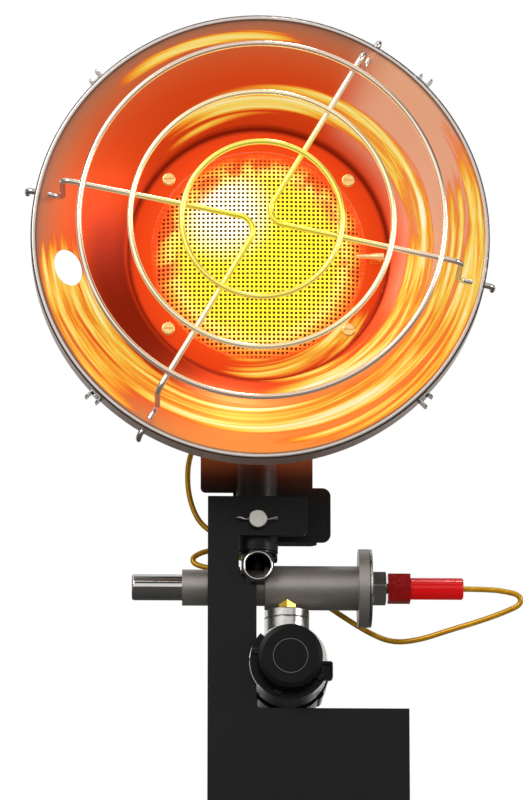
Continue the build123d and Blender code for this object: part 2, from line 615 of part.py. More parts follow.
def make_cotter_pin():
    """Split pin: both legs through the stud, its eye at the left, the ends spread at the right."""
    leg = COTTER_R + COTTER_GAP / 2
    deep, near = -COTTER_DEPTH + leg, -COTTER_DEPTH - leg
    eye = 1.9 * COTTER_R
    high = STUD_Z + COTTER_RISE
    points = [(COTTER_RIGHT, near - 2.0, high), (COTTER_RIGHT - 5, near, STUD_Z),
              (COTTER_LEFT + 5, near, STUD_Z), (COTTER_LEFT + 2.4, near - eye, high),
              (COTTER_LEFT, -COTTER_DEPTH - 0.3, high), (COTTER_LEFT + 2.4, deep + 0.35, high),
              (COTTER_LEFT + 5, deep, STUD_Z), (COTTER_RIGHT - 5, deep, STUD_Z),
              (COTTER_RIGHT, deep + 0.6, high)]
    return wire_along(points, [2.0, 1.0, 0.6, 0.6, 0.6, 1.0, 2.0], COTTER_R)


# ---------------------------------------------------------------- injector housing
def make_injector_housing():
    upright = Pos(HEAD_X, TUBE_Y, 0)
    housing = upright * rod(HOUSING_R, VALVE_Z, TUBE_BOTTOM)
    spigot = TUBE_R - TUBE_WALL - SPIGOT_CLEARANCE
    housing += upright * rod(spigot, TUBE_BOTTOM - 1, TUBE_BOTTOM + SPIGOT_LENGTH)
    port = Pos(HEAD_X, 0, PORT_Z) * FRONT_VIEW
    boss = Pos(0, 0, TUBE_DEPTH) * extrude(Rot(0, 0, 22.5) * RegularPolygon(PORT_BOSS_R, 8),
                                           PORT_DEPTH - TUBE_DEPTH)
    housing += port * boss
    housing -= VALVE * rod(VALVE_NARROW_R, VALVE_LEFT, VALVE_RIGHT)
    housing -= VALVE * rod(VALVE_WIDE_R, VALVE_STEP, VALVE_RIGHT)
    housing -= upright * rod(THROAT_R, VALVE_Z, TUBE_BOTTOM + SPIGOT_LENGTH + 1)
    housing -= port * rod(PORT_R, TUBE_DEPTH, PORT_DEPTH + 1)
    housing -= port * rod(INLET_RING_R, PORT_DEPTH - INLET_RING_SEAT, PORT_DEPTH + 1)
    side = Pos(HEAD_X, TUBE_Y, SIDE_SCREW_Z) * SIDE_VIEW
    seat = HOUSING_R - SIDE_SCREW_SEAT
    return housing - side * (rod(M3_R, THROAT_R - 1, HOUSING_R)
                             + rod(SIDE_SCREW_HEAD_R + HOLE_CLEARANCE, seat, HOUSING_R + 2))


def make_side_screw():
    place = Pos(HEAD_X + HOUSING_R - SIDE_SCREW_SEAT, TUBE_Y, SIDE_SCREW_Z) * SIDE_VIEW
    return place * screw(M3_R, SIDE_SCREW_HEAD_R, SIDE_SCREW_HEAD, HOUSING_R - THROAT_R)


def make_inlet_ring():
    low = PORT_DEPTH - INLET_RING_SEAT
    band = ring(INLET_RING_R, INLET_RING_R - INLET_RING_WALL, low, low + INLET_RING_LENGTH)
    band = fillet(band.edges().group_by(Axis.Z)[-1], INLET_RING_WALL * 0.45)
    return Pos(HEAD_X, 0, PORT_Z) * FRONT_VIEW * band


def make_injector():
    seat = VALVE_Z + VALVE_NARROW_R + 0.2
    jet = rod(M4_R, seat - 5, seat) + hexagon(JET_FLATS, seat, seat + 3)
    jet += rod(JET_R, seat + 3, JET_TOP - 1.5)
    jet += Pos(0, 0, JET_TOP - 1.5) * Cone(JET_R, 1.0, 1.5, align=(Align.CENTER, Align.CENTER, Align.MIN))
    return Pos(HEAD_X, TUBE_Y, 0) * (jet - rod(JET_BORE_R, seat - 6, JET_TOP + 1))


# ---------------------------------------------------------------- safety valve
def make_valve_body():
    body = turned((0, VALVE_LEFT), (VALVE_NARROW_R, VALVE_LEFT), (VALVE_NARROW_R, VALVE_STEP),
                  (VALVE_WIDE_R, VALVE_STEP), (VALVE_WIDE_R, VALVE_RIGHT),
                  (VALVE_FLANGE_R, VALVE_RIGHT), (VALVE_FLANGE_R, VALVE_RIGHT + VALVE_FLANGE),
                  (0, VALVE_RIGHT + VALVE_FLANGE))
    body -= rod(BUTTON_R + RUNNING_FIT, VALVE_LEFT - 1, BUTTON_BORE_END)
    body -= rod(STEM_R + RUNNING_FIT, BUTTON_BORE_END - 1, STEM_GUIDE_END)
    body -= rod(OUTLET_CHAMBER_R, STEM_GUIDE_END, SEAT_LEFT)
    body -= rod(SEAT_R, SEAT_LEFT - 1, SEAT_RIGHT)
    body -= rod(INLET_CHAMBER_R, SEAT_RIGHT, VALVE_RIGHT + VALVE_FLANGE + 1)
    for angle in CAP_SCREW_ANGLES:
        body -= around(angle, CAP_SCREW_AT, VALVE_RIGHT) * rod(M3_R, 1.5, VALVE_FLANGE + 1)
    body = VALVE * body
    body -= Pos(HEAD_X, TUBE_Y, VALVE_Z) * rod(M4_R, OUTLET_CHAMBER_R - 2, VALVE_NARROW_R + 1)
    return body - Pos(NECK_X, -NECK_DEPTH, 0) * rod(OUTLET_SPIGOT_R, NECK_TOP, OUTLET_TOP)


def make_safety_button():
    button = rod(BUTTON_R, BUTTON_LEFT, BUTTON_RIGHT)
    button = fillet(button.edges().group_by(Axis.Z)[0], BUTTON_ROUND)
    button += rod(STEM_R, BUTTON_RIGHT, SEAT_RIGHT - RUNNING_FIT)
    return VALVE * button


def make_button_spring():
    return VALVE * coil(5.0, SPRING_WIRE_R, BUTTON_RIGHT + 0.1, BUTTON_BORE_END - 0.1, 5)


def make_stem_seal():
    low = STEM_GUIDE_END + 0.1
    return VALVE * ring(OUTLET_CHAMBER_R, STEM_R + RUNNING_FIT, low, low + SEAL_LENGTH)


def make_poppet_seal():
    low = SEAT_RIGHT + RUNNING_FIT
    return VALVE * ring(POPPET_R, POPPET_ROD_R, low, low + POPPET_SEAL)


def make_poppet():
    low = SEAT_RIGHT + RUNNING_FIT
    disc = rod(POPPET_R, low + POPPET_SEAL, low + POPPET_SEAL + POPPET_DISC)
    return VALVE * (disc + rod(POPPET_ROD_R, low, ARMATURE_LEFT))


def make_poppet_spring():
    low = SEAT_RIGHT + RUNNING_FIT + POPPET_SEAL + POPPET_DISC + 0.1
    return VALVE * coil(3.5, SPRING_WIRE_R, low, MAGNET_LEFT - 0.1, 5)


def make_armature():
    return VALVE * rod(ARMATURE_R, ARMATURE_LEFT, ARMATURE_LEFT + ARMATURE)


def make_magnet_cup():
    outer = INLET_CHAMBER_R - 0.2
    cup = rod(outer, MAGNET_LEFT, MAGNET_RIGHT)
    cup -= rod(outer - MAGNET_WALL, MAGNET_LEFT + MAGNET_WALL, MAGNET_RIGHT + 1)
    return VALVE * (cup - rod(POPPET_ROD_R + 0.3, MAGNET_LEFT - 1, MAGNET_LEFT + 3))


def make_magnet():
    """Horseshoe magnet core with its coil, on a base that fills the cup's mouth."""
    face = ARMATURE_LEFT + ARMATURE + BUTTON_TRAVEL + MAGNET_GAP
    base = INLET_CHAMBER_R - 0.25 - MAGNET_WALL
    core = rod(MAGNET_CORE_R, face, MAGNET_RIGHT - 4) + rod(base, MAGNET_RIGHT - 4, MAGNET_RIGHT)
    core -= Pos(0, 0, face) * Box(3, 20, 12)
    return VALVE * core


def make_valve_cap():
    top = CAP_BACK + VALVE_CAP
    cap = rod(VALVE_FLANGE_R, CAP_BACK, top)
    cap = chamfer(cap.edges().group_by(Axis.Z)[-1], VALVE_CAP * 0.3)
    cap += rod(INLET_CHAMBER_R - 0.1, MAGNET_RIGHT + 0.1, CAP_BACK)
    cap -= rod(TERMINAL_R + 0.05, MAGNET_RIGHT - 1, top + 1)
    sink = Cone(M3_R, M3_HEAD_R, VALVE_CAP, align=(Align.CENTER, Align.CENTER, Align.MAX))
    for angle in CAP_SCREW_ANGLES:
        cap -= around(angle, CAP_SCREW_AT, top) * sink
    return VALVE * cap


def make_cap_screws():
    one = countersunk(M3_R, M3_HEAD_R, VALVE_CAP, VALVE_CAP + VALVE_CAP_GAP + VALVE_FLANGE - 2)
    top = CAP_BACK + VALVE_CAP
    return [VALVE * around(angle, CAP_SCREW_AT, top) * one for angle in CAP_SCREW_ANGLES]


def make_thermocouple_nut():
    corners = SENSOR_NUT_FLATS / math.cos(math.radians(30))
    low = SENSOR_NUT_LEFT
    nut = Rot(0, 0, 30) * hexagon(SENSOR_NUT_FLATS, low, low + SENSOR_NUT)
    barrel = rod(corners / 2, low, low + SENSOR_NUT)
    nut &= chamfer(barrel.edges(), SENSOR_NUT_CHAMFER)
    nut += rod(TERMINAL_R + SENSOR_NUT_COLLAR, low - SENSOR_NUT_STANDOFF, low)
    return VALVE * (nut - rod(TERMINAL_R + 0.05, low - 2, low + SENSOR_NUT + 1))


def make_lead_terminal():
    """Solid terminal from the magnet, through cap and nut, to the lead's end in the boot."""
    return VALVE * rod(TERMINAL_R, MAGNET_RIGHT + 0.05, LEAD_ROUTE[0][0])


def make_lead_boot():
    low = SENSOR_NUT_LEFT + SENSOR_NUT + BOOT_GAP
    boot = Rot(0, 0, 30) * hexagon(BOOT_HEX, low, low + BOOT_HEX_LENGTH)
    tail = rod(BOOT_R, low + BOOT_HEX_LENGTH, BOOT_RIGHT)
    tail = chamfer(tail.edges().group_by(Axis.Z)[-1], 0.8)
    boot += tail
    lead_start = LEAD_ROUTE[0][0]
    boot -= rod(TERMINAL_R + 0.05, low - 1, lead_start)
    boot -= rod(LEAD_R, lead_start - 1, BOOT_RIGHT + 1)
    return VALVE * boot


# ---------------------------------------------------------------- regulator and connection
def make_outlet_fitting():
    """Brass union from the regulator's neck into the valve body."""
    low = NECK_TOP - OUTLET_ROOT
    place = Pos(NECK_X, -NECK_DEPTH, 0)
    nut = place * Rot(0, 0, 30) * hexagon(OUTLET_FLATS, NECK_TOP, VALVE_Z)
    nut -= VALVE * rod(VALVE_WIDE_R + OUTLET_GAP, VALVE_STEP, VALVE_RIGHT)
    union = place * (rod(OUTLET_R, low, NECK_TOP) + rod(OUTLET_SPIGOT_R, NECK_TOP, OUTLET_TOP)) + nut
    union -= place * rod(GAS_BORE_R, low, OUTLET_TOP)
    return union - VALVE * rod(INLET_CHAMBER_R, VALVE_STEP, VALVE_RIGHT)


def make_regulator_body():
    body = rod(BODY_R, BODY_BACK, BODY_FRONT)
    body = fillet(body.edges().group_by(Axis.Z)[0], BODY_ROUND)
    body = FRONT_VIEW * body
    neck = turned((0, NECK_BOTTOM), (NECK_R, NECK_BOTTOM), (NECK_R, NECK_GROOVE_Z - NECK_GROOVE),
                  (NECK_R - NECK_GROOVE, NECK_GROOVE_Z), (NECK_R, NECK_GROOVE_Z + NECK_GROOVE),
                  (NECK_R, NECK_TOP - 0.6), (NECK_R - 0.6, NECK_TOP), (0, NECK_TOP))
    neck_place = Pos(NECK_X, -NECK_DEPTH, 0)
    body += neck_place * neck
    body -= FRONT_VIEW * rod(BONNET_HUB_R + 0.3, BODY_FRONT, BODY_FRONT + 5)
    body -= FRONT_VIEW * rod(CHAMBER_R, LEDGE_DEPTH, BODY_FRONT + 20)
    body -= FRONT_VIEW * rod(CHAMBER_R - 2, CHAMBER_DEPTH, LEDGE_DEPTH + 1)
    body -= FRONT_VIEW * rod(GAS_BORE_R, BODY_BACK, CHAMBER_DEPTH + 1)
    body -= FRONT_VIEW * rod(NIPPLE_ROOT_R, BODY_BACK - 1, BODY_BACK + NIPPLE_ROOT)
    body -= neck_place * rod(OUTLET_R, NECK_TOP - OUTLET_ROOT, NECK_TOP + 1)
    body -= neck_place * rod(GAS_BORE_R, 0, NECK_TOP)
    for angle in BONNET_SCREW_ANGLES:
        hole = rod(BONNET_SCREW_R, BODY_FRONT - 7, BODY_FRONT + 1)
        body -= FRONT_VIEW * around(angle, BONNET_SCREW_AT) * hole
    return body


def make_bonnet():
    """Moulded cover: hub, a flange and skirt round the lower arc, and the vent's square ear."""
    start, end = BONNET_ARC
    reach = 2 * BONNET_R
    gap = [(0, 0)] + [(reach * math.cos(math.radians(a)), reach * math.sin(math.radians(a)))
                      for a in (end - 360, 20, 60, 100, start)]
    gap = make_face(Polyline(*gap, close=True))
    flange = Circle(BONNET_R) - gap
    skirt = Circle(BONNET_R) - Circle(BODY_R + RUNNING_FIT) - gap
    cx, cz, width, height = VENT_EAR
    ear = Pos(cx, cz) * RectangleRounded(width, height, 1.5)
    pocket = Pos(cx + 0.6, cz) * RectangleRounded(width - 3.6, height - 3.6, 0.8)
    cover = Pos(0, 0, BODY_FRONT) * (extrude(flange, BONNET) + extrude(ear, BONNET + 1))
    cover += Pos(0, 0, BONNET_SKIRT_BACK) * extrude(skirt, BODY_FRONT - BONNET_SKIRT_BACK)
    hub = rod(BONNET_HUB_R, BODY_FRONT, BONNET_FRONT)
    hub = fillet(hub.edges().group_by(Axis.Z)[-1], 1.2)
    cover += hub
    cover += rod(CHAMBER_R - 0.05, LEDGE_DEPTH + DIAPHRAGM, BODY_FRONT)
    cover -= rod(CHAMBER_R - 2, LEDGE_DEPTH, BONNET_FRONT - BONNET_WALL)
    cover -= Pos(0, 0, BODY_FRONT + BONNET - 0.2) * extrude(pocket, 3)
    cover -= rod(STEM_SHAFT_R + RUNNING_FIT, BODY_FRONT, BONNET_FRONT + 1)
    for angle in BONNET_SCREW_ANGLES:
        place = around(angle, BONNET_SCREW_AT)
        cover -= place * rod(BONNET_SCREW_R + HOLE_CLEARANCE, BODY_FRONT - 1, BONNET_FRONT)
        cover -= place * rod(BONNET_SCREW_HEAD_R + 0.1, BODY_FRONT + BONNET, BONNET_FRONT + 1)
    return FRONT_VIEW * cover


def make_bonnet_screws():
    one = screw(BONNET_SCREW_R, BONNET_SCREW_HEAD_R, BONNET_SCREW_HEAD, BONNET_SCREW)
    place = BODY_FRONT + BONNET
    return [FRONT_VIEW * around(angle, BONNET_SCREW_AT, place) * one for angle in BONNET_SCREW_ANGLES]


def make_diaphragm():
    return FRONT_VIEW * rod(CHAMBER_R - 0.05, LEDGE_DEPTH, LEDGE_DEPTH + DIAPHRAGM)


def make_spring_plate():
    low = LEDGE_DEPTH + DIAPHRAGM
    return FRONT_VIEW * rod(SPRING_PLATE_R, low, low + 1)


STEM_SEAT_BACK = BONNET_FRONT - BONNET_WALL - 0.2 - STEM_SEAT


def make_regulator_spring():
    low = LEDGE_DEPTH + DIAPHRAGM + 1
    return FRONT_VIEW * coil(CONTROL_SPRING_R, SPRING_WIRE_R, low + 0.1, STEM_SEAT_BACK - 0.1, 4)


def make_control_stem():
    stem = rod(STEM_SEAT_R, STEM_SEAT_BACK, STEM_SEAT_BACK + STEM_SEAT)
    stem += rod(STEM_SHAFT_R, STEM_SEAT_BACK, STEM_FRONT)
    flat = Pos(0, STEM_SHAFT_R, STEM_FRONT) * Box(10, 2, 12)
    return FRONT_VIEW * (stem - flat)


def make_control_knob():
    """Hollow moulded knob: fluted rim, bevelled edge, one fine ring groove, D-bore sleeve."""
    knob = rod(KNOB_R, KNOB_BACK, KNOB_FRONT)
    knob = chamfer(knob.edges().group_by(Axis.Z)[-1], 1.0, KNOB_BEVEL)
    for i in range(KNOB_FLUTES):
        flute = rod(KNOB_FLUTE_R, KNOB_BACK - 1, KNOB_FRONT - KNOB_BEVEL)
        knob -= around(360 / KNOB_FLUTES * i, KNOB_R + KNOB_FLUTE_R - KNOB_FLUTE_DEPTH) * flute
    groove = ring(KNOB_GROOVE_R + KNOB_GROOVE, KNOB_GROOVE_R - KNOB_GROOVE,
                  KNOB_FRONT - KNOB_GROOVE, KNOB_FRONT + 1)
    knob -= groove
    knob -= ring(KNOB_R - KNOB_WALL, KNOB_SLEEVE_R, KNOB_BACK - 1, KNOB_FRONT - KNOB_WALL)
    flat = Pos(0, STEM_SHAFT_R + 0.05, STEM_FRONT) * Box(10, 2, 12)
    bore = rod(STEM_SHAFT_R + 0.05, KNOB_BACK - 1, STEM_FRONT + 0.1) - flat
    return FRONT_VIEW * (knob - bore)


def make_inlet_nipple():
    mouth = NIPPLE_MOUTH_R - GAS_BORE_R
    outline = turned(
        (0, mouth), (GAS_BORE_R - 0.5, mouth), (GAS_BORE_R, mouth), (NIPPLE_MOUTH_R, 0),
        (NIPPLE_NOSE_R, 0), (NIPPLE_NOSE_R, NIPPLE_FLANGE_FRONT - NIPPLE_FLANGE),
        (NIPPLE_FLANGE_R, NIPPLE_FLANGE_FRONT - NIPPLE_FLANGE),
        (NIPPLE_FLANGE_R, NIPPLE_FLANGE_FRONT), (NIPPLE_SHANK_R, NIPPLE_FLANGE_FRONT),
        (NIPPLE_SHANK_R, BODY_BACK), (NIPPLE_ROOT_R, BODY_BACK),
        (NIPPLE_ROOT_R, BODY_BACK + NIPPLE_ROOT), (0, BODY_BACK + NIPPLE_ROOT))
    return FRONT_VIEW * (outline - rod(GAS_BORE_R, 0, BODY_BACK + NIPPLE_ROOT + 1))


def make_hand_nut():
    """Lobed plastic nut that turns freely on the nipple and pulls it into the cylinder valve."""
    nut = turned((0, 0), (NUT_R, 0), (NUT_R, NUT_FRONT - NUT_TAPER),
                 (NUT_NECK_R, NUT_FRONT), (0, NUT_FRONT))
    for i in range(NUT_LOBES):
        lobe = rod(NUT_LOBE_R, 0, NUT_FRONT - NUT_TAPER)
        nut += around(360 / NUT_LOBES * i, NUT_OUT - NUT_LOBE_R) * lobe
    nut -= rod(NUT_THREAD_R, -1, NUT_THREAD_LENGTH)
    nut -= rod(NUT_CHAMBER_R, NUT_THREAD_LENGTH - 1, NUT_FRONT - NUT_FRONT_WALL)
    nut -= rod(NIPPLE_SHANK_R + RUNNING_FIT, 0, NUT_FRONT + 1)
    return FRONT_VIEW * nut


# ---------------------------------------------------------------- thermocouple
def make_probe():
    """Sheathed probe: a stem from behind through the flat and a tapered arm over the burner."""
    stem = Pos(PROBE_X, PROBE_Z, 0) * rod(LEAD_R, PROBE_BACK, FLAT_DEPTH + PROBE_HEIGHT)
    ends = [(0, PROBE_ARM[0][0])] + [(r, x) for x, r in PROBE_ARM] + [(0, PROBE_ARM[-1][0])]
    arm = Pos(PROBE_X, PROBE_Z, FLAT_DEPTH + PROBE_HEIGHT) * SIDE_VIEW * turned(*ends)
    return HEAD * (stem + arm)


def make_probe_clip():
    """Small plate spot-welded on the flat; it holds the probe's stem."""
    left, right, bottom, top = PROBE_CLIP
    middle = Pos(PROBE_X + (left + right) / 2, (bottom + top) / 2, FLAT_DEPTH + PROBE_CLIP_SHEET / 2)
    plate = middle * Box(right - left, top - bottom, PROBE_CLIP_SHEET)
    plate = fillet(plate.edges().filter_by(Axis.Z), 1.2)
    return HEAD * (plate - Pos(PROBE_X, PROBE_Z, FLAT_DEPTH) * Cylinder(LEAD_R + WIRE_CLEARANCE, 6))


def make_thermocouple_lead():
    """The capillary lead, one tube of straight runs and tangent arcs."""
    points = [Vector(*p) for p in LEAD_ROUTE]
    bends = []
    for before, here, after in zip(points, points[1:], points[2:]):
        turn = math.radians((here - before).get_angle(after - here))
        shorter = min((here - before).length, (after - here).length)
        bends.append(0.45 * shorter / math.tan(turn / 2))
    route = FilletPolyline(*points, radius=bends)
    lead = sweep(Plane(route @ 0, z_dir=route % 0) * Circle(LEAD_R), path=route)
    expected = math.pi * LEAD_R ** 2 * route.length
    print("lead radii", [round(b, 1) for b in bends])
    print("lead length", round(route.length, 1))
    print("lead volume", round(lead.volume, 1), "expected", round(expected, 1))
    return lead


# ---------------------------------------------------------------- writing the nodes
def save(name, shapes):
    """One STEP per node; a list becomes one file of separate solids."""
    shapes = shapes if isinstance(shapes, list) else [shapes]
    solids = [solid for shape in shapes for solid in shape.solids()]
    node = solids[0] if len(solids) == 1 else Compound(children=solids)
    node.label = name
    export_step(node, "parts/" + name + ".step")


def main():
    os.makedirs("parts", exist_ok=True)
    save("reflector", make_reflector())
    for name, radius in RING_RADII.items():
        save("guard_ring_" + name, make_guard_ring(radius))
    for name, angles in ARM_ANGLES.items():
        save("guard_wire_" + name, make_guard_wire(angles))
    save("rim_clips", [make_rim_clip(angle) for angle in CLIP_ANGLES])
    save("clip_rivets", [make_clip_rivet(angle) for angle in CLIP_ANGLES])
    makers = [make_plenum, make_gasket, make_screen_ring, make_screen, make_inner_screen, make_baffle,
              make_burner_screws, make_burner_nuts, make_burner_tube, make_head_bracket,
              make_support_bracket, make_bracket_stud, make_cotter_pin, make_injector_housing,
              make_side_screw, make_inlet_ring, make_injector, make_valve_body, make_safety_button,
              make_button_spring, make_stem_seal, make_poppet_seal, make_poppet, make_poppet_spring,
              make_armature, make_magnet_cup, make_magnet, make_valve_cap, make_cap_screws,
              make_thermocouple_nut, make_lead_terminal, make_lead_boot, make_outlet_fitting,
              make_regulator_body, make_bonnet, make_bonnet_screws, make_diaphragm,
              make_spring_plate, make_regulator_spring, make_control_stem, make_control_knob,
              make_inlet_nipple, make_hand_nut, make_probe, make_probe_clip,
              make_thermocouple_lead]
    names = ["burner_plenum", "burner_gasket", "screen_ring", "burner_screen", "inner_screen",
             "gas_baffle", "burner_screws", "burner_nuts", "burner_tube", "head_bracket",
             "support_bracket", "bracket_stud", "cotter_pin", "injector_housing", "side_screw",
             "air_inlet_ring", "injector", "valve_body", "safety_button", "button_spring",
             "stem_seal", "poppet_seal", "valve_poppet", "poppet_spring", "armature", "magnet_cup",
             "magnet", "valve_cap", "cap_screws", "thermocouple_nut", "lead_terminal", "lead_boot",
             "outlet_fitting", "regulator_body", "regulator_bonnet", "bonnet_screws",
             "regulator_diaphragm", "spring_plate", "regulator_spring", "control_stem",
             "control_knob", "inlet_nipple", "hand_nut", "thermocouple_probe", "probe_clip",
             "thermocouple_lead"]
    for name, maker in zip(names, makers):
        save(name, maker())


main()
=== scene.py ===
# %% [markdown]
# # A radiant gas heater
# This heater screws onto an upright gas bottle. A spun dish throws the heat of a glowing wire mesh
# forward, a wire guard keeps fingers away, and a valve, a regulator and a knob hang below it.
# The solid model comes first: it is loaded as a fixed frame, and every piece made here sits where
# that frame says. Lengths are in metres, with a helper for millimetres.

# %% Load the frame
import math

import bpy
from mathutils import Matrix, Vector


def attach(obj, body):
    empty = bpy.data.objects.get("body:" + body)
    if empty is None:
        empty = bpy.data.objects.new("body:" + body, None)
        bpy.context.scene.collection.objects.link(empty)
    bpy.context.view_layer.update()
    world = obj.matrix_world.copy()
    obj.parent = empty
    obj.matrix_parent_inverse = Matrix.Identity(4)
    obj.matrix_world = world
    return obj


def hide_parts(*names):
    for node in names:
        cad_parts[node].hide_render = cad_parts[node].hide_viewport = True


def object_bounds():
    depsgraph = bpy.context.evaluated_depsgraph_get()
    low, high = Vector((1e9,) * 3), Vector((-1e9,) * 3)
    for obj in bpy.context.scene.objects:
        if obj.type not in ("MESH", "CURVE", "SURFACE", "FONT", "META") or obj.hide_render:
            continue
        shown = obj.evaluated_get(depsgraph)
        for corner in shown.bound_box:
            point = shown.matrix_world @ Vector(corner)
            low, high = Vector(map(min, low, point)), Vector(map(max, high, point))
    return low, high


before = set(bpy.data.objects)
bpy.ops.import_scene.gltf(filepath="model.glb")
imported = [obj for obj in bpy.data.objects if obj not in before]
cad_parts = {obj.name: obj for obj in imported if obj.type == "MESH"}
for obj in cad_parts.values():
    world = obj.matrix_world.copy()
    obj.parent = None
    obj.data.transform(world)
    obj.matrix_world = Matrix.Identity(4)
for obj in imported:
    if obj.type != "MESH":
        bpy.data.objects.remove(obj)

solid_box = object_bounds()

# %% [markdown]
# ## Small helpers
# Colours are written as the hex codes of a paint chart, which are sRGB, while shaders work with
# linear light, so one function converts them. One more adds a node and joins it up, because a
# material is easier to read as a list of nodes. The others cover what many finishes share: a colour
# ramp, a mask made of smooth steps, layers of paint, and a surface that varies in spots.

# %% Helpers
MM = 0.001
HEAD_X = -18.5 * MM          # the dish's axis, as in the solid model
HEAD_Z = 241.0 * MM
MATH, VECTOR = "ShaderNodeMath", "ShaderNodeVectorMath"
SPLIT, JOIN = "ShaderNodeSeparateXYZ", "ShaderNodeCombineXYZ"
RANGE, RAMP, NOISE, MIX = ("ShaderNodeMapRange", "ShaderNodeValToRGB", "ShaderNodeTexNoise",
                           "ShaderNodeMix")
BUMP, BEVEL, SURFACE = "ShaderNodeBump", "ShaderNodeBevel", "ShaderNodeBsdfPrincipled"


def colour(code):
    """The linear colour of an sRGB hex code such as #C0C0C0."""
    parts = [int(code[i:i + 2], 16) / 255 for i in (1, 3, 5)]
    return (*[c / 12.92 if c <= 0.04045 else ((c + 0.055) / 1.055) ** 2.4 for c in parts], 1.0)


def add(tree, kind, inputs=None, **settings):
    """Adds one node. An input given as a socket is linked, and any other value is set."""
    node = tree.nodes.new(kind)
    for name, value in settings.items():
        setattr(node, name, value)
    for socket, value in (inputs or {}).items():
        if isinstance(value, bpy.types.NodeSocket):
            tree.links.new(value, node.inputs[socket])
        else:
            node.inputs[socket].default_value = value
    return node


def new_finish(name):
    """An empty material, its node tree and the position on the object, in metres."""
    material = bpy.data.materials.new(name)
    material.use_nodes = True
    tree = material.node_tree
    tree.nodes.clear()
    place = add(tree, "ShaderNodeTexCoord").outputs["Object"]
    return material, tree, place


def close_finish(tree, shader):
    """Joins the shader to the material's output."""
    add(tree, "ShaderNodeOutputMaterial", {"Surface": shader.outputs[0]})


def set_stops(ramp, stops):
    """Gives a ramp its stops, as (place, hex code), and returns its colour."""
    elements = ramp.color_ramp.elements
    while len(elements) > 1:
        elements.remove(elements[-1])
    for i, (place, code) in enumerate(stops):
        stop = elements[0] if i == 0 else elements.new(place)
        stop.position = place
        stop.color = colour(code)
    return ramp.outputs["Color"]


def mask(tree, *steps):
    """The product of smooth steps (value, low, high), each 0 at low and 1 at high."""
    result = None
    for value, low, high in steps:
        step = add(tree, RANGE, {"Value": value, "From Min": low, "From Max": high},
                   interpolation_type="SMOOTHSTEP").outputs["Result"]
        result = step if result is None else add(tree, MATH, {0: result, 1: step},
                                                 operation="MULTIPLY").outputs[0]
    return result


def tinted(tree, base, *layers):
    """Paints colours over a base, each layer as (mask socket, strength, hex code or socket)."""
    for where, strength, code in layers:
        amount = add(tree, MATH, {0: where, 1: strength}, operation="MULTIPLY").outputs[0]
        top = code if isinstance(code, bpy.types.NodeSocket) else colour(code)
        base = add(tree, MIX, {0: amount, 6: base, 7: top}, data_type="RGBA").outputs[2]
    return base


def uneven(tree, place, spot, stops, rough):
    """Noise with spots of a given size, and a colour and a roughness that follow it."""
    fac = add(tree, NOISE, {"Vector": place, "Scale": 1 / spot, "Detail": 3.0}).outputs["Fac"]
    tone = set_stops(add(tree, RAMP, {"Fac": fac}), stops)
    return fac, tone, add(tree, RANGE, {"Value": fac, "From Min": 0.3, "From Max": 0.7,
                                        "To Min": rough[0], "To Max": rough[1]}).outputs["Result"]


def plain_finish(name, spot, stops, rough, bump=0.0, edge=0.0, **inputs):
    """A finish that varies in spots: colour, roughness, bumps of a depth, edges of a radius."""
    material, tree, place = new_finish(name)
    fac, tone, roughness = uneven(tree, place, spot, stops, rough)
    values = {"Base Color": tone, "Roughness": roughness}
    values.update({key.replace("_", " "): value for key, value in inputs.items()})
    if edge:
        values["Normal"] = add(tree, BEVEL, {"Radius": edge}, samples=4).outputs[0]
    if bump:
        soft = {"Normal": values["Normal"]} if edge else {}
        values["Normal"] = add(tree, BUMP, {"Height": fac, "Strength": 0.5, "Distance": bump,
                                            **soft}).outputs[0]
    close_finish(tree, add(tree, SURFACE, values))
    return material


def dress(material, *nodes):
    """Gives solid-model pieces their material."""
    for name in nodes:
        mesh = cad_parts[name].data
        mesh.materials.clear()
        mesh.materials.append(material)


print("helpers ready, white is", [round(c, 3) for c in colour("#FFFFFF")])

# %% [markdown]
# ## The camera
# A long lens far away keeps the dish round: its focal length is 256.5 mm on a 36 mm high frame.
# It stands below the heater and looks up by 13.7 degrees, so that the valve's underside shows.

# %% Camera
PITCH = math.radians(13.7)
YAW = math.radians(1.5)
FOCAL_LENGTH = 256.5                         # on a frame 36 mm high
CAMERA_PLACE = (-0.10158, -3.31127, -0.63738)
look = Vector((math.sin(YAW) * math.cos(PITCH), math.cos(YAW) * math.cos(PITCH), math.sin(PITCH)))
right = Vector((math.cos(YAW), -math.sin(YAW), 0.0))
up = right.cross(look)
lens = bpy.data.cameras.new("long_lens")
lens.sensor_fit = "VERTICAL"
lens.sensor_height = 36.0
lens.lens = FOCAL_LENGTH
lens.clip_end = 30.0
camera = bpy.data.objects.new("camera", lens)
bpy.context.scene.collection.objects.link(camera)
turn = Matrix((right, up, -look)).transposed().to_4x4()
camera.matrix_world = Matrix.Translation(CAMERA_PLACE) @ turn
bpy.context.scene.camera = camera
print("camera looks along", [round(v, 3) for v in look])

# %% [markdown]
# ## The capillary lead
# A thin golden copper tube carries the flame sensor's signal from the dish to the safety valve.
# On the real one it is stiff enough to keep the bends that the fitter gave it. It is drawn as one
# smooth curve led by the corners of its way; a round bevel then gives it its thickness.

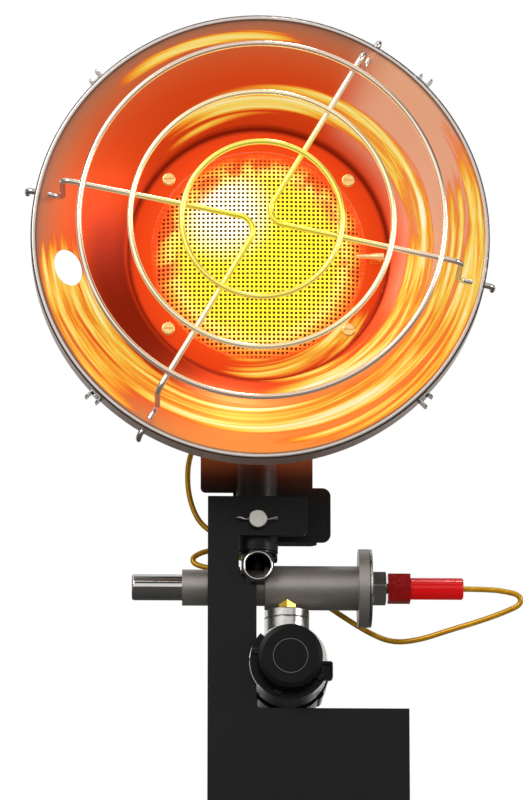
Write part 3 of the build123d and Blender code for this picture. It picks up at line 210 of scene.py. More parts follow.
# %% Lead
LEAD_DIAMETER = 3.2 * MM
LEAD_POINTS = [
    (96.0, -41.0, 46.7), (117.0, -41.0, 46.7), (128.6, -40.8, 45.2), (135.7, -40.4, 43.2),
    (136.5, -39.8, 38.0), (128.5, -38.8, 34.2), (114.0, -36.5, 29.0), (95.0, -32.0, 24.0),
    (77.0, -27.0, 18.8), (61.0, -22.5, 18.0), (46.0, -19.2, 25.5), (27.0, -17.0, 38.5),
    (9.0, -17.0, 51.0), (-9.0, -17.5, 61.2), (-25.0, -18.0, 68.5), (-39.5, -19.0, 74.3),
    (-49.0, -20.3, 73.0), (-56.1, -21.5, 69.2), (-55.7, -23.0, 65.0), (-50.0, -24.3, 62.7),
    (-43.9, -25.3, 61.5), (-38.2, -26.0, 64.5), (-35.6, -26.2, 70.3), (-37.4, -26.0, 76.5),
    (-44.4, -25.0, 83.2), (-52.2, -24.0, 89.5), (-57.2, -23.3, 100.5), (-59.5, -22.7, 114.0),
    (-58.5, -22.0, 129.5), (-52.0, -21.2, 143.0), (-38.0, -20.0, 152.5), (-17.0, -18.0, 158.5),
    (6.0, -17.0, 165.0), (28.0, -16.0, 176.5), (45.0, -15.0, 194.0), (54.0, -14.5, 211.0),
    (53.0, -17.0, 227.5), (53.0, -28.5, 239.0), (53.0, -44.0, 239.0)]
lead_curve = bpy.data.curves.new("thermocouple_lead_tube", "CURVE")
lead_curve.dimensions = "3D"
lead_curve.bevel_depth = 1.0                 # times each point's radius, which is the tube's
lead_curve.bevel_resolution = 5
lead_curve.use_fill_caps = True
spline = lead_curve.splines.new("NURBS")
spline.points.add(len(LEAD_POINTS) - 1)
for point, place in zip(spline.points, LEAD_POINTS):
    point.co = (*[c * MM for c in place], 1.0)
    point.radius = LEAD_DIAMETER / 2
spline.order_u = 3
spline.use_endpoint_u = True
spline.resolution_u = 8
lead = bpy.data.objects.new("thermocouple_lead_tube", lead_curve)
bpy.context.scene.collection.objects.link(lead)
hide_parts("thermocouple_lead")
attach(lead, "heater")
lead_length = sum((Vector(b) - Vector(a)).length for a, b in zip(LEAD_POINTS, LEAD_POINTS[1:])) * MM
print("lead's runs add up to", round(lead_length, 3), "m")

# %% [markdown]
# ## Light, floor and background
# A product picture has a white surround that also shows in polished metal, with black cards that
# draw lines in it: without them chrome looks like white plastic. The world does both. Rays that
# reach the eye see white, mirror-like rays see white with dark bands, and the soft rays that light
# the object see an even grey.

# %% World
bpy.context.scene.view_settings.view_transform = "Standard"
world = bpy.data.worlds.new("studio")
bpy.context.scene.world = world
world.use_nodes = True
sky = world.node_tree
sky.nodes.clear()
rays = add(sky, "ShaderNodeLightPath")
direction = add(sky, SPLIT, {0: add(sky, "ShaderNodeTexCoord").outputs["Generated"]})
upward = add(sky, RANGE, {"Value": direction.outputs["Z"], "From Min": -1.0, "From Max": 1.0})
level_card = set_stops(add(sky, RAMP, {"Fac": upward.outputs[0]}), [
    (0.00, "#4A4A4A"), (0.22, "#6A6A6A"), (0.42, "#A8A8A8"), (0.49, "#FFFFFF"), (0.62, "#FFFFFF"),
    (0.70, "#E0E0E0"), (0.745, "#141414"), (0.81, "#101010"), (0.83, "#E8E8E8"), (0.92, "#FFFFFF"),
    (1.00, "#8A8A8A")])
sideways = add(sky, RANGE, {"Value": direction.outputs["X"], "From Min": -1.0, "From Max": 1.0})
upright_card = set_stops(add(sky, RAMP, {"Fac": sideways.outputs[0]}), [
    (0.00, "#4A4A4A"), (0.05, "#585858"), (0.09, "#FFFFFF"), (0.70, "#FFFFFF"), (0.78, "#7A7A7A"),
    (0.90, "#6A6A6A"), (0.96, "#F0F0F0")])
cards = add(sky, MIX, {0: 1.0, 6: level_card, 7: upright_card}, data_type="RGBA", blend_type="MULTIPLY")
soft = add(sky, MIX, {0: rays.outputs["Is Glossy Ray"], 6: colour("#B8B8B8"), 7: cards.outputs[2]},
           data_type="RGBA")
through = add(sky, MATH, {0: rays.outputs["Is Camera Ray"], 1: rays.outputs["Is Transmission Ray"]},
              operation="MAXIMUM")
shown = add(sky, MIX, {0: through.outputs[0], 6: soft.outputs[2], 7: colour("#FFFFFF")}, data_type="RGBA")
surround = add(sky, "ShaderNodeBackground", {"Color": shown.outputs[2], "Strength": 1.0})
add(sky, "ShaderNodeOutputWorld", {"Surface": surround.outputs[0]})
print("world made of", len(sky.nodes), "nodes")

# %% [markdown]
# Two soft lamps shape the round parts: a large key from the upper left and a weaker one from the
# right. A small strip overhead draws the bright line along the red boot. The floor is a plain pale
# sheet under the heater. Mirror-like rays see a black card on it near the heater, as photographers
# lay one there, so that the undersides of chrome and black parts stay dark. The eye sees the sheet
# fade into the white surround, and sees nothing of it from below, where it looks up past its edge.

# %% Lamps and floor


def soft_lamp(name, place, target, watts, side):
    """A square area lamp of a side in metres, turned to its target."""
    light = bpy.data.lights.new(name, "AREA")
    light.energy = watts
    light.size = side
    lamp = bpy.data.objects.new(name, light)
    bpy.context.scene.collection.objects.link(lamp)
    aim = (Vector(target) - Vector(place)).to_track_quat("-Z", "Y").to_matrix().to_4x4()
    lamp.matrix_world = Matrix.Translation(place) @ aim
    return lamp


soft_lamp("key", (-1.1, -1.6, 1.3), (0, -0.05, 0.12), 26, 0.9)
soft_lamp("side", (1.6, -1.0, 0.5), (0, -0.05, 0.1), 12, 0.7)
strip = soft_lamp("strip_over_the_boot", (0.14, -0.34, 1.35), (0.10, -0.04, 0.05), 3.4, 0.16)
strip.data.shape = "RECTANGLE"
strip.data.size_y = 0.24

FLOOR_HALF = 4                               # metres from the middle to each side
floor_mesh = bpy.data.meshes.new("floor")
floor_z = solid_box[0].z - 0.5 * MM
corners = [(-FLOOR_HALF, -FLOOR_HALF), (FLOOR_HALF, -FLOOR_HALF), (FLOOR_HALF, FLOOR_HALF),
           (-FLOOR_HALF, FLOOR_HALF)]
floor_mesh.from_pydata([(x, y, floor_z) for x, y in corners], [], [(0, 1, 2, 3)])
floor = bpy.data.objects.new("floor", floor_mesh)
bpy.context.scene.collection.objects.link(floor)
paper, tree, place = new_finish("pale_paper")
rays = add(tree, "ShaderNodeLightPath").outputs
distance = add(tree, VECTOR, {0: place}, operation="LENGTH").outputs["Value"]
near = mask(tree, (distance, 2.6, 1.2))
dark_card = add(tree, MATH, {0: rays["Is Glossy Ray"], 1: near}, operation="MULTIPLY").outputs[0]
sheet_tone = tinted(tree, colour("#E9E9E7"), (dark_card, 0.92, "#1C1C1C"))
sheet = add(tree, "ShaderNodeBsdfDiffuse", {"Color": sheet_tone})
clear = add(tree, "ShaderNodeBsdfTransparent")
below = add(tree, "ShaderNodeNewGeometry").outputs["Backfacing"]
far = add(tree, MATH, {0: rays["Is Camera Ray"], 1: mask(tree, (distance, 0.5, 1.4))}, operation="MULTIPLY")
gone = add(tree, MATH, {0: below, 1: far.outputs[0]}, operation="MAXIMUM").outputs[0]
close_finish(tree, add(tree, "ShaderNodeMixShader", {0: gone, 1: sheet.outputs[0], 2: clear.outputs[0]}))
floor_mesh.materials.append(paper)
print("floor at", round(floor_z, 4), "m")

# %% [markdown]
# ## Spun steel dish
# The dish is spun from thin steel: a roller presses a turning disc over a form and leaves fine
# rings. Years of heat turn the steel straw, orange and brown, strongest round the burner. Over that
# the colour carries painted light: the burner's glow is painted orange into the dish and also sent
# out as emission, the room and the lamps show as painted reflections, and the burner's light shows
# as painted golden rings. Everything on the dish therefore follows two numbers: the distance from
# its axis and the direction round it. The colour is a ramp over the distance, and the golden rings
# are noise that is stretched a long way round and only a little outwards.

# %% Heat colour and painted light
STRAND_WIDTH = 4.2 * MM
TOOL_MARK_WIDTH = 0.8 * MM


def from_axis(tree, place):
    """Distance from the dish's axis, and the direction round it."""
    offset = add(tree, VECTOR, {0: place, 1: (HEAD_X, 0, HEAD_Z)}, operation="SUBTRACT")
    flat = add(tree, VECTOR, {0: offset.outputs[0], 1: (1, 0, 1)}, operation="MULTIPLY")
    reach = add(tree, VECTOR, {0: flat.outputs[0]}, operation="LENGTH").outputs["Value"]
    return reach, add(tree, VECTOR, {0: flat.outputs[0]}, operation="NORMALIZE").outputs["Vector"]


def towards(tree, way, degrees):
    """1 where a place lies in this direction from the axis, 0 at the side and -1 opposite."""
    turn = math.radians(degrees)
    aim = (math.cos(turn), 0.0, math.sin(turn))
    return add(tree, VECTOR, {0: way, 1: aim}, operation="DOT_PRODUCT").outputs["Value"]


def ring_noise(tree, reach, way, width, drift, detail):
    """Rings round the axis: noise that changes every width outwards and slowly round."""
    outwards = add(tree, MATH, {0: reach, 1: width}, operation="DIVIDE").outputs[0]
    slide = add(tree, VECTOR, {0: way, 1: (drift, drift, drift)}, operation="MULTIPLY").outputs[0]
    spot = add(tree, VECTOR, {0: add(tree, JOIN, {"X": outwards}).outputs[0], 1: slide}, operation="ADD")
    return add(tree, NOISE, {"Vector": spot.outputs[0], "Scale": 1.0, "Detail": detail,
                             "Roughness": 0.6}).outputs["Fac"]


def painted_gold_band(tree, reach, way, lean, lean_way, edges, middle, sector):
    """Painted golden reflections of the burner, as strands in a band round the axis that leans to one side;
    edges are four distances in mm.
    """
    off_centre = add(tree, MATH, {0: towards(tree, way, lean_way), 1: -lean * MM, 2: reach},
                     operation="MULTIPLY_ADD").outputs[0]
    strands = ring_noise(tree, off_centre, way, STRAND_WIDTH, 1.5, 5.0)
    raised = add(tree, MATH, {0: strands, 1: 1.7, 2: -0.27}, operation="MULTIPLY_ADD").outputs[0]
    start, full, fade, end = [edge * MM for edge in edges]
    band = mask(tree, (off_centre, start, full), (off_centre, end, fade),
                (towards(tree, way, middle), *sector))
    return add(tree, MATH, {0: raised, 1: band}, operation="MULTIPLY").outputs[0]


spun_steel, tree, place = new_finish("spun_steel_heat_tint_and_painted_glow")
reach, way = from_axis(tree, place)
across = add(tree, RANGE, {"Value": reach, "From Min": 60 * MM, "From Max": 134 * MM}).outputs[0]
# the ramp is heat colour with the burner's glow painted into it; its dark stop near 77 mm, at the step, is
# painted shade, and on the rim a painted highlight line lies between lines of painted shade
heat_tint_and_painted_glow = set_stops(add(tree, RAMP, {"Fac": across}), [
    (0.00, "#F04A0C"), (0.19, "#E23C0A"), (0.225, "#7A1A06"), (0.26, "#DE3E10"), (0.40, "#E84A16"),
    (0.60, "#E84E1E"), (0.72, "#E45C2E"), (0.82, "#D86C42"), (0.90, "#C47656"), (0.945, "#AA7660"),
    (0.957, "#5E4034"), (0.966, "#F0E6DE"), (0.980, "#F0E6DE"), (0.986, "#42322A"), (0.992, "#42322A"),
    (0.9945, "#9C8478")])

# painted reflections: the dish is painted dark at the left, where it would mirror the dark room,
# lighter at the upper right, where it would mirror the lamps, and amber at the lower right
gloom = mask(tree, (towards(tree, way, 202), 0.60, 0.95), (reach, 77 * MM, 80 * MM),
             (reach, 118 * MM, 92 * MM))
pale = mask(tree, (towards(tree, way, 18), 0.66, 0.86), (reach, 76 * MM, 100 * MM),
            (reach, 131 * MM, 129 * MM))
amber = mask(tree, (towards(tree, way, 298), 0.35, 0.85), (reach, 82 * MM, 94 * MM),
             (reach, 131 * MM, 129 * MM))
# satin is the colour with these painted reflections laid over it
satin = tinted(tree, heat_tint_and_painted_glow, (gloom, 0.95, "#861A02"), (pale, 0.85, "#F8BE9E"), (amber, 0.8, "#F29048"))

# painted golden reflections of the burner, in bands from the burner outwards: over the flat, round the inner
# wall, the outer wall, the rim
gold = None
for lean, lean_way, edges, middle, sector in [
        (0, 0, (56, 62, 73, 79), 292, (0.55, 0.95)), (10, 35, (74, 82, 91, 98), 20, (-0.8, 0.1)),
        (11, 75, (100, 108, 121, 132), 280, (-0.6, 0.1)), (3, 30, (117, 122, 128, 132), 335, (0.2, 0.8)),
        (4, 205, (108, 114, 124, 128), 208, (0.80, 0.97)), (0, 0, (119, 123, 125, 129), 105, (0.80, 0.97))]:
    band = painted_gold_band(tree, reach, way, lean, lean_way, edges, middle, sector)
    gold = band if gold is None else add(tree, MATH, {0: gold, 1: band}, operation="MAXIMUM").outputs[0]
strands = set_stops(add(tree, RAMP, {"Fac": gold}), [
    (0.34, "#E8561A"), (0.46, "#F08226"), (0.56, "#F5B436"), (0.66, "#FBDC62"), (0.76, "#FEF0A8"),
    (0.86, "#FFFBE4")])
glare = mask(tree, (gold, 0.30, 0.48), (reach, 132 * MM, 130 * MM))
surface = tinted(tree, satin, (glare, 0.95, strands))

# rings left by the spinning tool, in roughness and relief
tool_marks = ring_noise(tree, reach, way, TOOL_MARK_WIDTH, 0.6, 3.0)
roughness = add(tree, RANGE, {"Value": tool_marks, "To Min": 0.22, "To Max": 0.46}).outputs[0]
grooves = add(tree, BUMP, {"Height": tool_marks, "Strength": 0.2, "Distance": 0.02 * MM}).outputs[0]

# the back of the dish faces +Y; it stays plain dull steel and doesn't glow
facing = add(tree, SPLIT, {0: add(tree, "ShaderNodeNewGeometry").outputs["Normal"]}).outputs["Y"]
inside = mask(tree, (facing, 0.15, 0.02))
plain = set_stops(add(tree, RAMP, {"Fac": tool_marks}), [(0.3, "#7E7A76"), (0.7, "#98938D")])
# under the painted golden reflections the front's base is darkened, so that the emission carries them
dimmed = add(tree, MATH, {0: glare, 1: 0.35, 2: 0.45}, operation="MULTIPLY_ADD").outputs[0]
front = tinted(tree, surface, (dimmed, 1.0, "#1C0602"))
coat = tinted(tree, plain, (inside, 1.0, front))
# painted glow: the front sends out light as emission, strongest in the golden reflections and on the rim's
# inner wall
lit_wall = add(tree, RANGE, {"Value": reach, "From Min": 129 * MM, "From Max": 132 * MM, "To Min": 0.55,
                             "To Max": 0.22}).outputs[0]
all_glow = add(tree, MATH, {0: glare, 1: 0.3, 2: lit_wall}, operation="MULTIPLY_ADD").outputs[0]
front_glow = add(tree, MATH, {0: all_glow, 1: inside}, operation="MULTIPLY").outputs[0]
close_finish(tree, add(tree, SURFACE, {
    "Base Color": coat, "Metallic": 0.85, "Roughness": roughness, "Normal": grooves,
    "Emission Color": surface, "Emission Strength": front_glow}))
dress(spun_steel, "reflector")
print("dish dressed,", len(tree.nodes), "nodes")

# %% [markdown]
# ## Glowing wire mesh
# The burner's face is woven from heat-resisting wire. Gas burns in its holes, so the wires glow:
# yellow-white in the middle, orange near the rim where they lose heat to the cup. The weave is made
# with Geometry Nodes: one wire, copied across, cut to the circle, bent over the dome and waved over
# and under its neighbours, then the same again turned by a right angle. The tree has the pitch, the
# circle's radius and the wire's thickness as inputs, so another weave needs three numbers.

# %% Woven mesh as a node tree
WEAVE_PITCH = 2.6 * MM
WEAVE_WIRE = 1.15 * MM
MESH_RADIUS = 62.9 * MM
DOME_FRONT = -72.2 * MM      # place of the crown along Y
CROWN_SLOPE = -0.061         # fall of the crown per metre outwards
KNEE = 52.5 * MM             # beyond it the dome's edge falls faster
EDGE_SLOPE = -0.447
KNEE_DROP = -3.2 * MM
glowing_wire, wire_tree, wire_place = new_finish("nichrome_wire_glowing")


def add_socket(tree, name, kind, value):
    """Gives a node tree an input with a value to start from, and returns the input's identifier."""
    socket = tree.interface.new_socket(name, in_out="INPUT", socket_type=kind)
    socket.default_value = value
    return socket.identifier


def wire_set(tree, group, turn, phase):
    """One direction of wires, flat on the XY plane, crown at the origin."""
    pitch, radius, thick = group.outputs["Pitch"], group.outputs["Radius"], group.outputs["Wire"]

    # a row of points across the circle, one wire on each, as long as the circle is wide there
    pitches = add(tree, MATH, {0: radius, 1: pitch}, operation="DIVIDE").outputs[0]
    half = add(tree, MATH, {0: pitches}, operation="FLOOR").outputs[0]
    count = add(tree, MATH, {0: half, 1: 2.0, 2: 1.0}, operation="MULTIPLY_ADD").outputs[0]
    width = add(tree, MATH, {0: half, 1: pitch}, operation="MULTIPLY").outputs[0]
    lowest = add(tree, MATH, {0: 0.0, 1: width}, operation="SUBTRACT").outputs[0]
    starts = add(tree, "GeometryNodeMeshLine", {
        "Count": count, "Start Location": add(tree, JOIN, {"Y": lowest}).outputs[0],
        "Offset": add(tree, JOIN, {"Y": pitch}).outputs[0]})
    line = add(tree, "GeometryNodeCurvePrimitiveLine", {"Start": (-1.0, 0, 0), "End": (1.0, 0, 0)})
    fine = add(tree, "GeometryNodeResampleCurve", {"Curve": line.outputs[0], "Count": 97})
    row = add(tree, SPLIT, {0: add(tree, "GeometryNodeInputPosition").outputs[0]}).outputs["Y"]
    share = add(tree, MATH, {0: row, 1: radius}, operation="DIVIDE").outputs[0]
    angle = add(tree, MATH, {0: share}, operation="ARCSINE").outputs[0]
    narrowing = add(tree, MATH, {0: angle}, operation="COSINE").outputs[0]
    half_chord = add(tree, MATH, {0: narrowing, 1: radius}, operation="MULTIPLY").outputs[0]
    copies = add(tree, "GeometryNodeInstanceOnPoints", {
        "Points": starts.outputs[0], "Instance": fine.outputs[0],
        "Scale": add(tree, JOIN, {"X": half_chord, "Y": 1.0, "Z": 1.0}).outputs[0]})
    real = add(tree, "GeometryNodeRealizeInstances", {0: copies.outputs[0]})

    # the wave over and under the crossing wires
    spot = add(tree, "GeometryNodeInputPosition").outputs[0]
    parts = add(tree, SPLIT, {0: spot})
    diagonal = add(tree, MATH, {0: parts.outputs["X"], 1: parts.outputs["Y"]}, operation="ADD").outputs[0]
    crossings = add(tree, MATH, {0: diagonal, 1: pitch}, operation="DIVIDE").outputs[0]
    bow = add(tree, MATH, {0: crossings, 1: math.pi, 2: phase}, operation="MULTIPLY_ADD").outputs[0]
    wave = add(tree, MATH, {0: bow}, operation="COSINE").outputs[0]
    reach = add(tree, MATH, {0: thick, 1: 0.22}, operation="MULTIPLY").outputs[0]

    # the dome: a nearly flat crown and a steeper edge, joined softly
    out = add(tree, VECTOR, {0: spot}, operation="LENGTH").outputs["Value"]
    crown = add(tree, MATH, {0: out, 1: CROWN_SLOPE}, operation="MULTIPLY").outputs[0]
    beyond = add(tree, MATH, {0: out, 1: KNEE}, operation="SUBTRACT").outputs[0]
    edge = add(tree, MATH, {0: beyond, 1: EDGE_SLOPE, 2: KNEE_DROP}, operation="MULTIPLY_ADD").outputs[0]
    dome = add(tree, MATH, {0: crown, 1: edge, 2: 1.2 * MM}, operation="SMOOTH_MIN").outputs[0]
    lift = add(tree, MATH, {0: wave, 1: reach, 2: dome}, operation="MULTIPLY_ADD").outputs[0]
    bent = add(tree, "GeometryNodeSetPosition", {
        "Geometry": real.outputs[0], "Offset": add(tree, JOIN, {"Z": lift}).outputs[0]})
    section = add(tree, "GeometryNodeCurvePrimitiveCircle", {
        "Resolution": 5, "Radius": add(tree, MATH, {0: thick, 1: 0.5}, operation="MULTIPLY").outputs[0]})
    tube = add(tree, "GeometryNodeCurveToMesh", {
        "Curve": bent.outputs[0], "Profile Curve": section.outputs[0], "Fill Caps": True})
    return add(tree, "GeometryNodeTransform", {
        "Geometry": tube.outputs[0], "Rotation": (0, 0, turn)}).outputs[0]


def close_tree(tree, geometry, material):
    """Ends a geometry tree: smooth, real and in its material."""
    smooth = add(tree, "GeometryNodeSetShadeSmooth", {"Geometry": geometry})
    real = add(tree, "GeometryNodeRealizeInstances", {0: smooth.outputs[0]})
    coated = add(tree, "GeometryNodeSetMaterial", {"Geometry": real.outputs[0], "Material": material})
    tree.links.new(coated.outputs[0], tree.nodes.new("NodeGroupOutput").inputs[0])


def grow(name, group, values, body):
    """Runs a node tree, keeps its result as a plain mesh and lets it ride on a body."""
    host = bpy.data.objects.new(name + "_host", bpy.data.meshes.new(name + "_host"))
    bpy.context.scene.collection.objects.link(host)
    modifier = host.modifiers.new("build", "NODES")
    modifier.node_group = group
    for identifier, value in values.items():
        modifier[identifier] = value
    bpy.context.view_layer.update()
    result = host.evaluated_get(bpy.context.evaluated_depsgraph_get())
    mesh = bpy.data.meshes.new_from_object(result)
    host.modifiers.remove(modifier)
    bpy.data.objects.remove(host)
    piece = bpy.data.objects.new(name, mesh)
    bpy.context.scene.collection.objects.link(piece)
    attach(piece, body)
    return piece


weave = bpy.data.node_groups.new("woven_wire_dome", "GeometryNodeTree")
weave_values = {add_socket(weave, name, "NodeSocketFloat", value): value for name, value in
                (("Pitch", WEAVE_PITCH), ("Radius", MESH_RADIUS), ("Wire", WEAVE_WIRE))}
weave.interface.new_socket("Geometry", in_out="OUTPUT", socket_type="NodeSocketGeometry")
group = weave.nodes.new("NodeGroupInput")
both = add(weave, "GeometryNodeJoinGeometry")
weave.links.new(wire_set(weave, group, 0.0, 0.0), both.inputs[0])
weave.links.new(wire_set(weave, group, math.pi / 2, math.pi), both.inputs[0])
stand = add(weave, "GeometryNodeTransform", {
    "Geometry": both.outputs[0], "Rotation": (math.pi / 2, 0, 0),
    "Translation": (HEAD_X, DOME_FRONT, HEAD_Z)})
close_tree(weave, stand.outputs[0], glowing_wire)
mesh_dome = grow("burner_mesh", weave, weave_values, "heater")
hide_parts("burner_screen")
print("mesh has", len(mesh_dome.data.polygons), "faces")

# %% Glowing wire finish
PAINTED_HIGHLIGHT_SPOT = (HEAD_X - 20 * MM, DOME_FRONT, HEAD_Z + 26 * MM)     # where the painted highlight makes the mesh whitest
reach, way = from_axis(wire_tree, wire_place)
across = add(wire_tree, RANGE, {"Value": reach, "From Max": 64 * MM}).outputs[0]
# the paler stop near 51 mm lies on the dome's knee: a painted highlight along the bend
heat = set_stops(add(wire_tree, RAMP, {"Fac": across}), [
    (0.00, "#EEE032"), (0.55, "#ECDA2C"), (0.72, "#EED63A"), (0.80, "#F4DC66"), (0.86, "#F2B446"),
    (0.93, "#EE8028"), (1.00, "#E8501A")])
from_spot = add(wire_tree, VECTOR, {0: wire_place, 1: PAINTED_HIGHLIGHT_SPOT}, operation="DISTANCE").outputs["Value"]
# painted highlight: the dome's upper left is painted nearly white, where the key lamp lights it
painted_dome_highlight = mask(wire_tree, (from_spot, 34 * MM, 10 * MM), (reach, 52 * MM, 44 * MM))
patchy = add(wire_tree, NOISE, {"Vector": wire_place, "Scale": 1 / (14 * MM), "Detail": 2.0}).outputs["Fac"]
# darker orange patches towards the bottom of the mesh
darker_lower_patches = mask(wire_tree, (patchy, 0.44, 0.60), (reach, 40 * MM, 55 * MM),
              (add(wire_tree, SPLIT, {0: way}).outputs["Z"], -0.6, -0.1))
hot = tinted(wire_tree, heat, (painted_dome_highlight, 0.85, "#FFFDE6"), (darker_lower_patches, 0.85, "#E0430E"))
shade = add(wire_tree, RANGE, {"Value": patchy, "From Min": 0.3, "From Max": 0.7, "To Min": 0.66,
                               "To Max": 0.92}).outputs[0]
close_finish(wire_tree, add(wire_tree, SURFACE, {
    "Base Color": hot, "Metallic": 0.3, "Roughness": 0.55, "Emission Color": hot,
    "Emission Strength": shade}))
print("glowing wire ready")

# %% [markdown]
# Behind the mesh lies a second, finer screen. Little of it shows through the holes, and what shows
# is a deep red-brown glow. The cup round it is drawn from steel sheet. Its inside glows orange at the
# rim, partly red heat and partly painted light of the burner falling on it; its outside, seen from
# behind, has only the blue-brown scale of hot steel.

# %% Inner screen and burner cup
ember, tree, place = new_finish("inner_screen_ember")
reach, way = from_axis(tree, place)
across = add(tree, RANGE, {"Value": reach, "From Max": 60 * MM}).outputs[0]
low_glow = set_stops(add(tree, RAMP, {"Fac": across}), [(0.0, "#4A3204"), (0.7, "#4A2A04"), (1.0, "#7A2402")])
grain = add(tree, NOISE, {"Vector": place, "Scale": 1 / (0.7 * MM), "Detail": 1.0}).outputs["Fac"]
rough_grain = add(tree, BUMP, {"Height": grain, "Strength": 0.5, "Distance": 0.1 * MM}).outputs[0]
close_finish(tree, add(tree, SURFACE, {
    "Base Color": colour("#2A1608"), "Metallic": 0.4, "Roughness": 0.7, "Normal": rough_grain,
    "Emission Color": low_glow, "Emission Strength": 0.8}))
dress(ember, "inner_screen")

drawn_steel, tree, place = new_finish("deep_drawn_steel")
reach, way = from_axis(tree, place)
fac, oxide, draw_rough = uneven(tree, place, 18 * MM, [
    (0.32, "#5A5048"), (0.5, "#77706A"), (0.68, "#6A5A60")], (0.34, 0.6))
depth = add(tree, SPLIT, {0: place}).outputs["Y"]
# painted glow: the inside of the cup's rim sends out orange light, partly red heat and partly the burner's
# light painted onto it
rim_heat_and_painted_glow = mask(tree, (reach, 64.2 * MM, 63.9 * MM), (depth, -40 * MM, -58 * MM))
close_finish(tree, add(tree, SURFACE, {
    "Base Color": oxide, "Metallic": 1.0, "Roughness": draw_rough, "Emission Color": colour("#E8480E"),
    "Emission Strength": rim_heat_and_painted_glow}))
dress(drawn_steel, "burner_plenum", "screen_ring", "gas_baffle")

# ceramic fibre paper: chalky and without shine, with fibres about a millimetre long
dress(plain_finish("ceramic_fibre_paper", 0.9 * MM, [(0.3, "#CFC8BA"), (0.7, "#E2DCD0")], (0.9, 1.0),
                   bump=0.1 * MM), "burner_gasket")
print("burner dressed")

# %% [markdown]
# ## Polished guard wire
# The guard is bright drawn steel wire, spot welded. Round wire mirrors the lamps along its middle
# and the dark dish along its edges; here the dark edges are painted reflections, so it reads as a light
# line between two dark ones. Near the burner it is painted golden and glows, a painted reflection of
# the burner's glow. Both follow from two masks: how far the wire is from the axis, and how much the
# surface turns away from the eye. The clips and screws are plated.

# %% Guard
guard_wire, tree, place = new_finish("bright_drawn_steel_wire")
reach, way = from_axis(tree, place)
across = add(tree, RANGE, {"Value": reach, "From Min": 20 * MM, "From Max": 130 * MM}).outputs[0]
# painted reflection: the wire is painted golden near the burner, where it would mirror the glow
painted_glow_warmth = set_stops(add(tree, RAMP, {"Fac": across}), [
    (0.0, "#F2E64E"), (0.24, "#F6E468"), (0.40, "#F8E49A"), (0.55, "#FAE6C0"), (0.80, "#F6DCC6"),
    (0.92, "#DCD2CA"), (1.0, "#CFC9C3")])
drawing_marks = add(tree, NOISE, {"Vector": place, "Scale": 1 / (9 * MM), "Detail": 3.0}).outputs["Fac"]
wire_rough = add(tree, RANGE, {"Value": drawing_marks, "To Min": 0.08, "To Max": 0.2}).outputs[0]
away = add(tree, "ShaderNodeLayerWeight", {"Blend": 0.5}).outputs["Facing"]
# painted reflection: the wire's edges, turned away from the eye, are painted dark as if mirroring the dish
painted_dark_edge = mask(tree, (away, 0.45, 0.95))
wire_tone = tinted(tree, painted_glow_warmth, (painted_dark_edge, 0.8, "#5A2C14"))
# painted glow: near the burner the wire sends out its colour as emission, standing in for the glow it mirrors
close_by = mask(tree, (reach, 165 * MM, 30 * MM))
lit = add(tree, MATH, {0: close_by, 1: 0.46}, operation="MULTIPLY").outputs[0]
close_finish(tree, add(tree, SURFACE, {
    "Base Color": wire_tone, "Metallic": 1.0, "Roughness": wire_rough, "Emission Color": wire_tone,
    "Emission Strength": lit}))
dress(guard_wire, "guard_ring_outer", "guard_ring_middle", "guard_ring_inner", "guard_wire_left",
      "guard_wire_right")

# bright zinc plating: bluish-grey, in spots of about 1.5 mm
dress(plain_finish("zinc_plated_steel", 1.5 * MM, [(0.3, "#B9B6AF"), (0.7, "#D2CFC8")], (0.28, 0.4),
                   Metallic=1.0),
      "rim_clips", "clip_rivets", "burner_nuts", "cap_screws", "cotter_pin", "bracket_stud")
# the same plating, yellowed by the heat of the burner beside it, with a painted glow of the burner's light on
# it
dress(plain_finish("zinc_plate_heat_yellowed_painted_glow", 1.2 * MM, [(0.3, "#E8B86A"), (0.7, "#F6DCA0")],
                   (0.25, 0.4), Metallic=0.9, Emission_Color=colour("#FFB050"), Emission_Strength=0.16),
      "burner_screws")
# black passivated zinc on the screws of the black parts
dress(plain_finish("black_passivated_zinc", 1.2 * MM, [(0.3, "#0C0C0C"), (0.7, "#181818")],
                   (0.3, 0.45), edge=0.2 * MM, Specular_IOR_Level=0.3), "side_screw", "bonnet_screws")
# the probe's sheath glows dull where the flame licks it
dress(plain_finish("stainless_probe_sheath", 4 * MM, [(0.3, "#F2CC8C"), (0.7, "#FBE9C0")], (0.22, 0.36),
                   Metallic=0.85, Emission_Color=colour("#FFC070"), Emission_Strength=0.32),
      "thermocouple_probe")
# the clip on the dish's flat: heat-tinted steel, painted orange like the dish and given a painted glow of the
# burner's light
dress(plain_finish("spring_clip_heat_tint_painted_glow", 2 * MM, [(0.3, "#C8501C"), (0.7, "#E07A38")], (0.3, 0.45),
                   Metallic=0.85, Emission_Color=colour("#D8500E"), Emission_Strength=0.35), "probe_clip")
print("guard and fasteners dressed")

# %% [markdown]
# ## Black enamel
# Tube and brackets are folded from sheet and stove enamelled. The coat pulls thin over the edges,
# so they catch the light. Just under the dish's rim it browns, and there it also glows: partly
# scorch and partly painted light of the dish falling on it. A real black coat sends back only a few
# percent of the light, so the specular level is low and the edges do the drawing.

# %% Enamel
enamel, tree, place = new_finish("black_stove_enamel")
high = add(tree, SPLIT, {0: place}).outputs["Z"]
level = add(tree, RANGE, {"Value": high, "From Min": 95 * MM, "From Max": 148 * MM}).outputs[0]
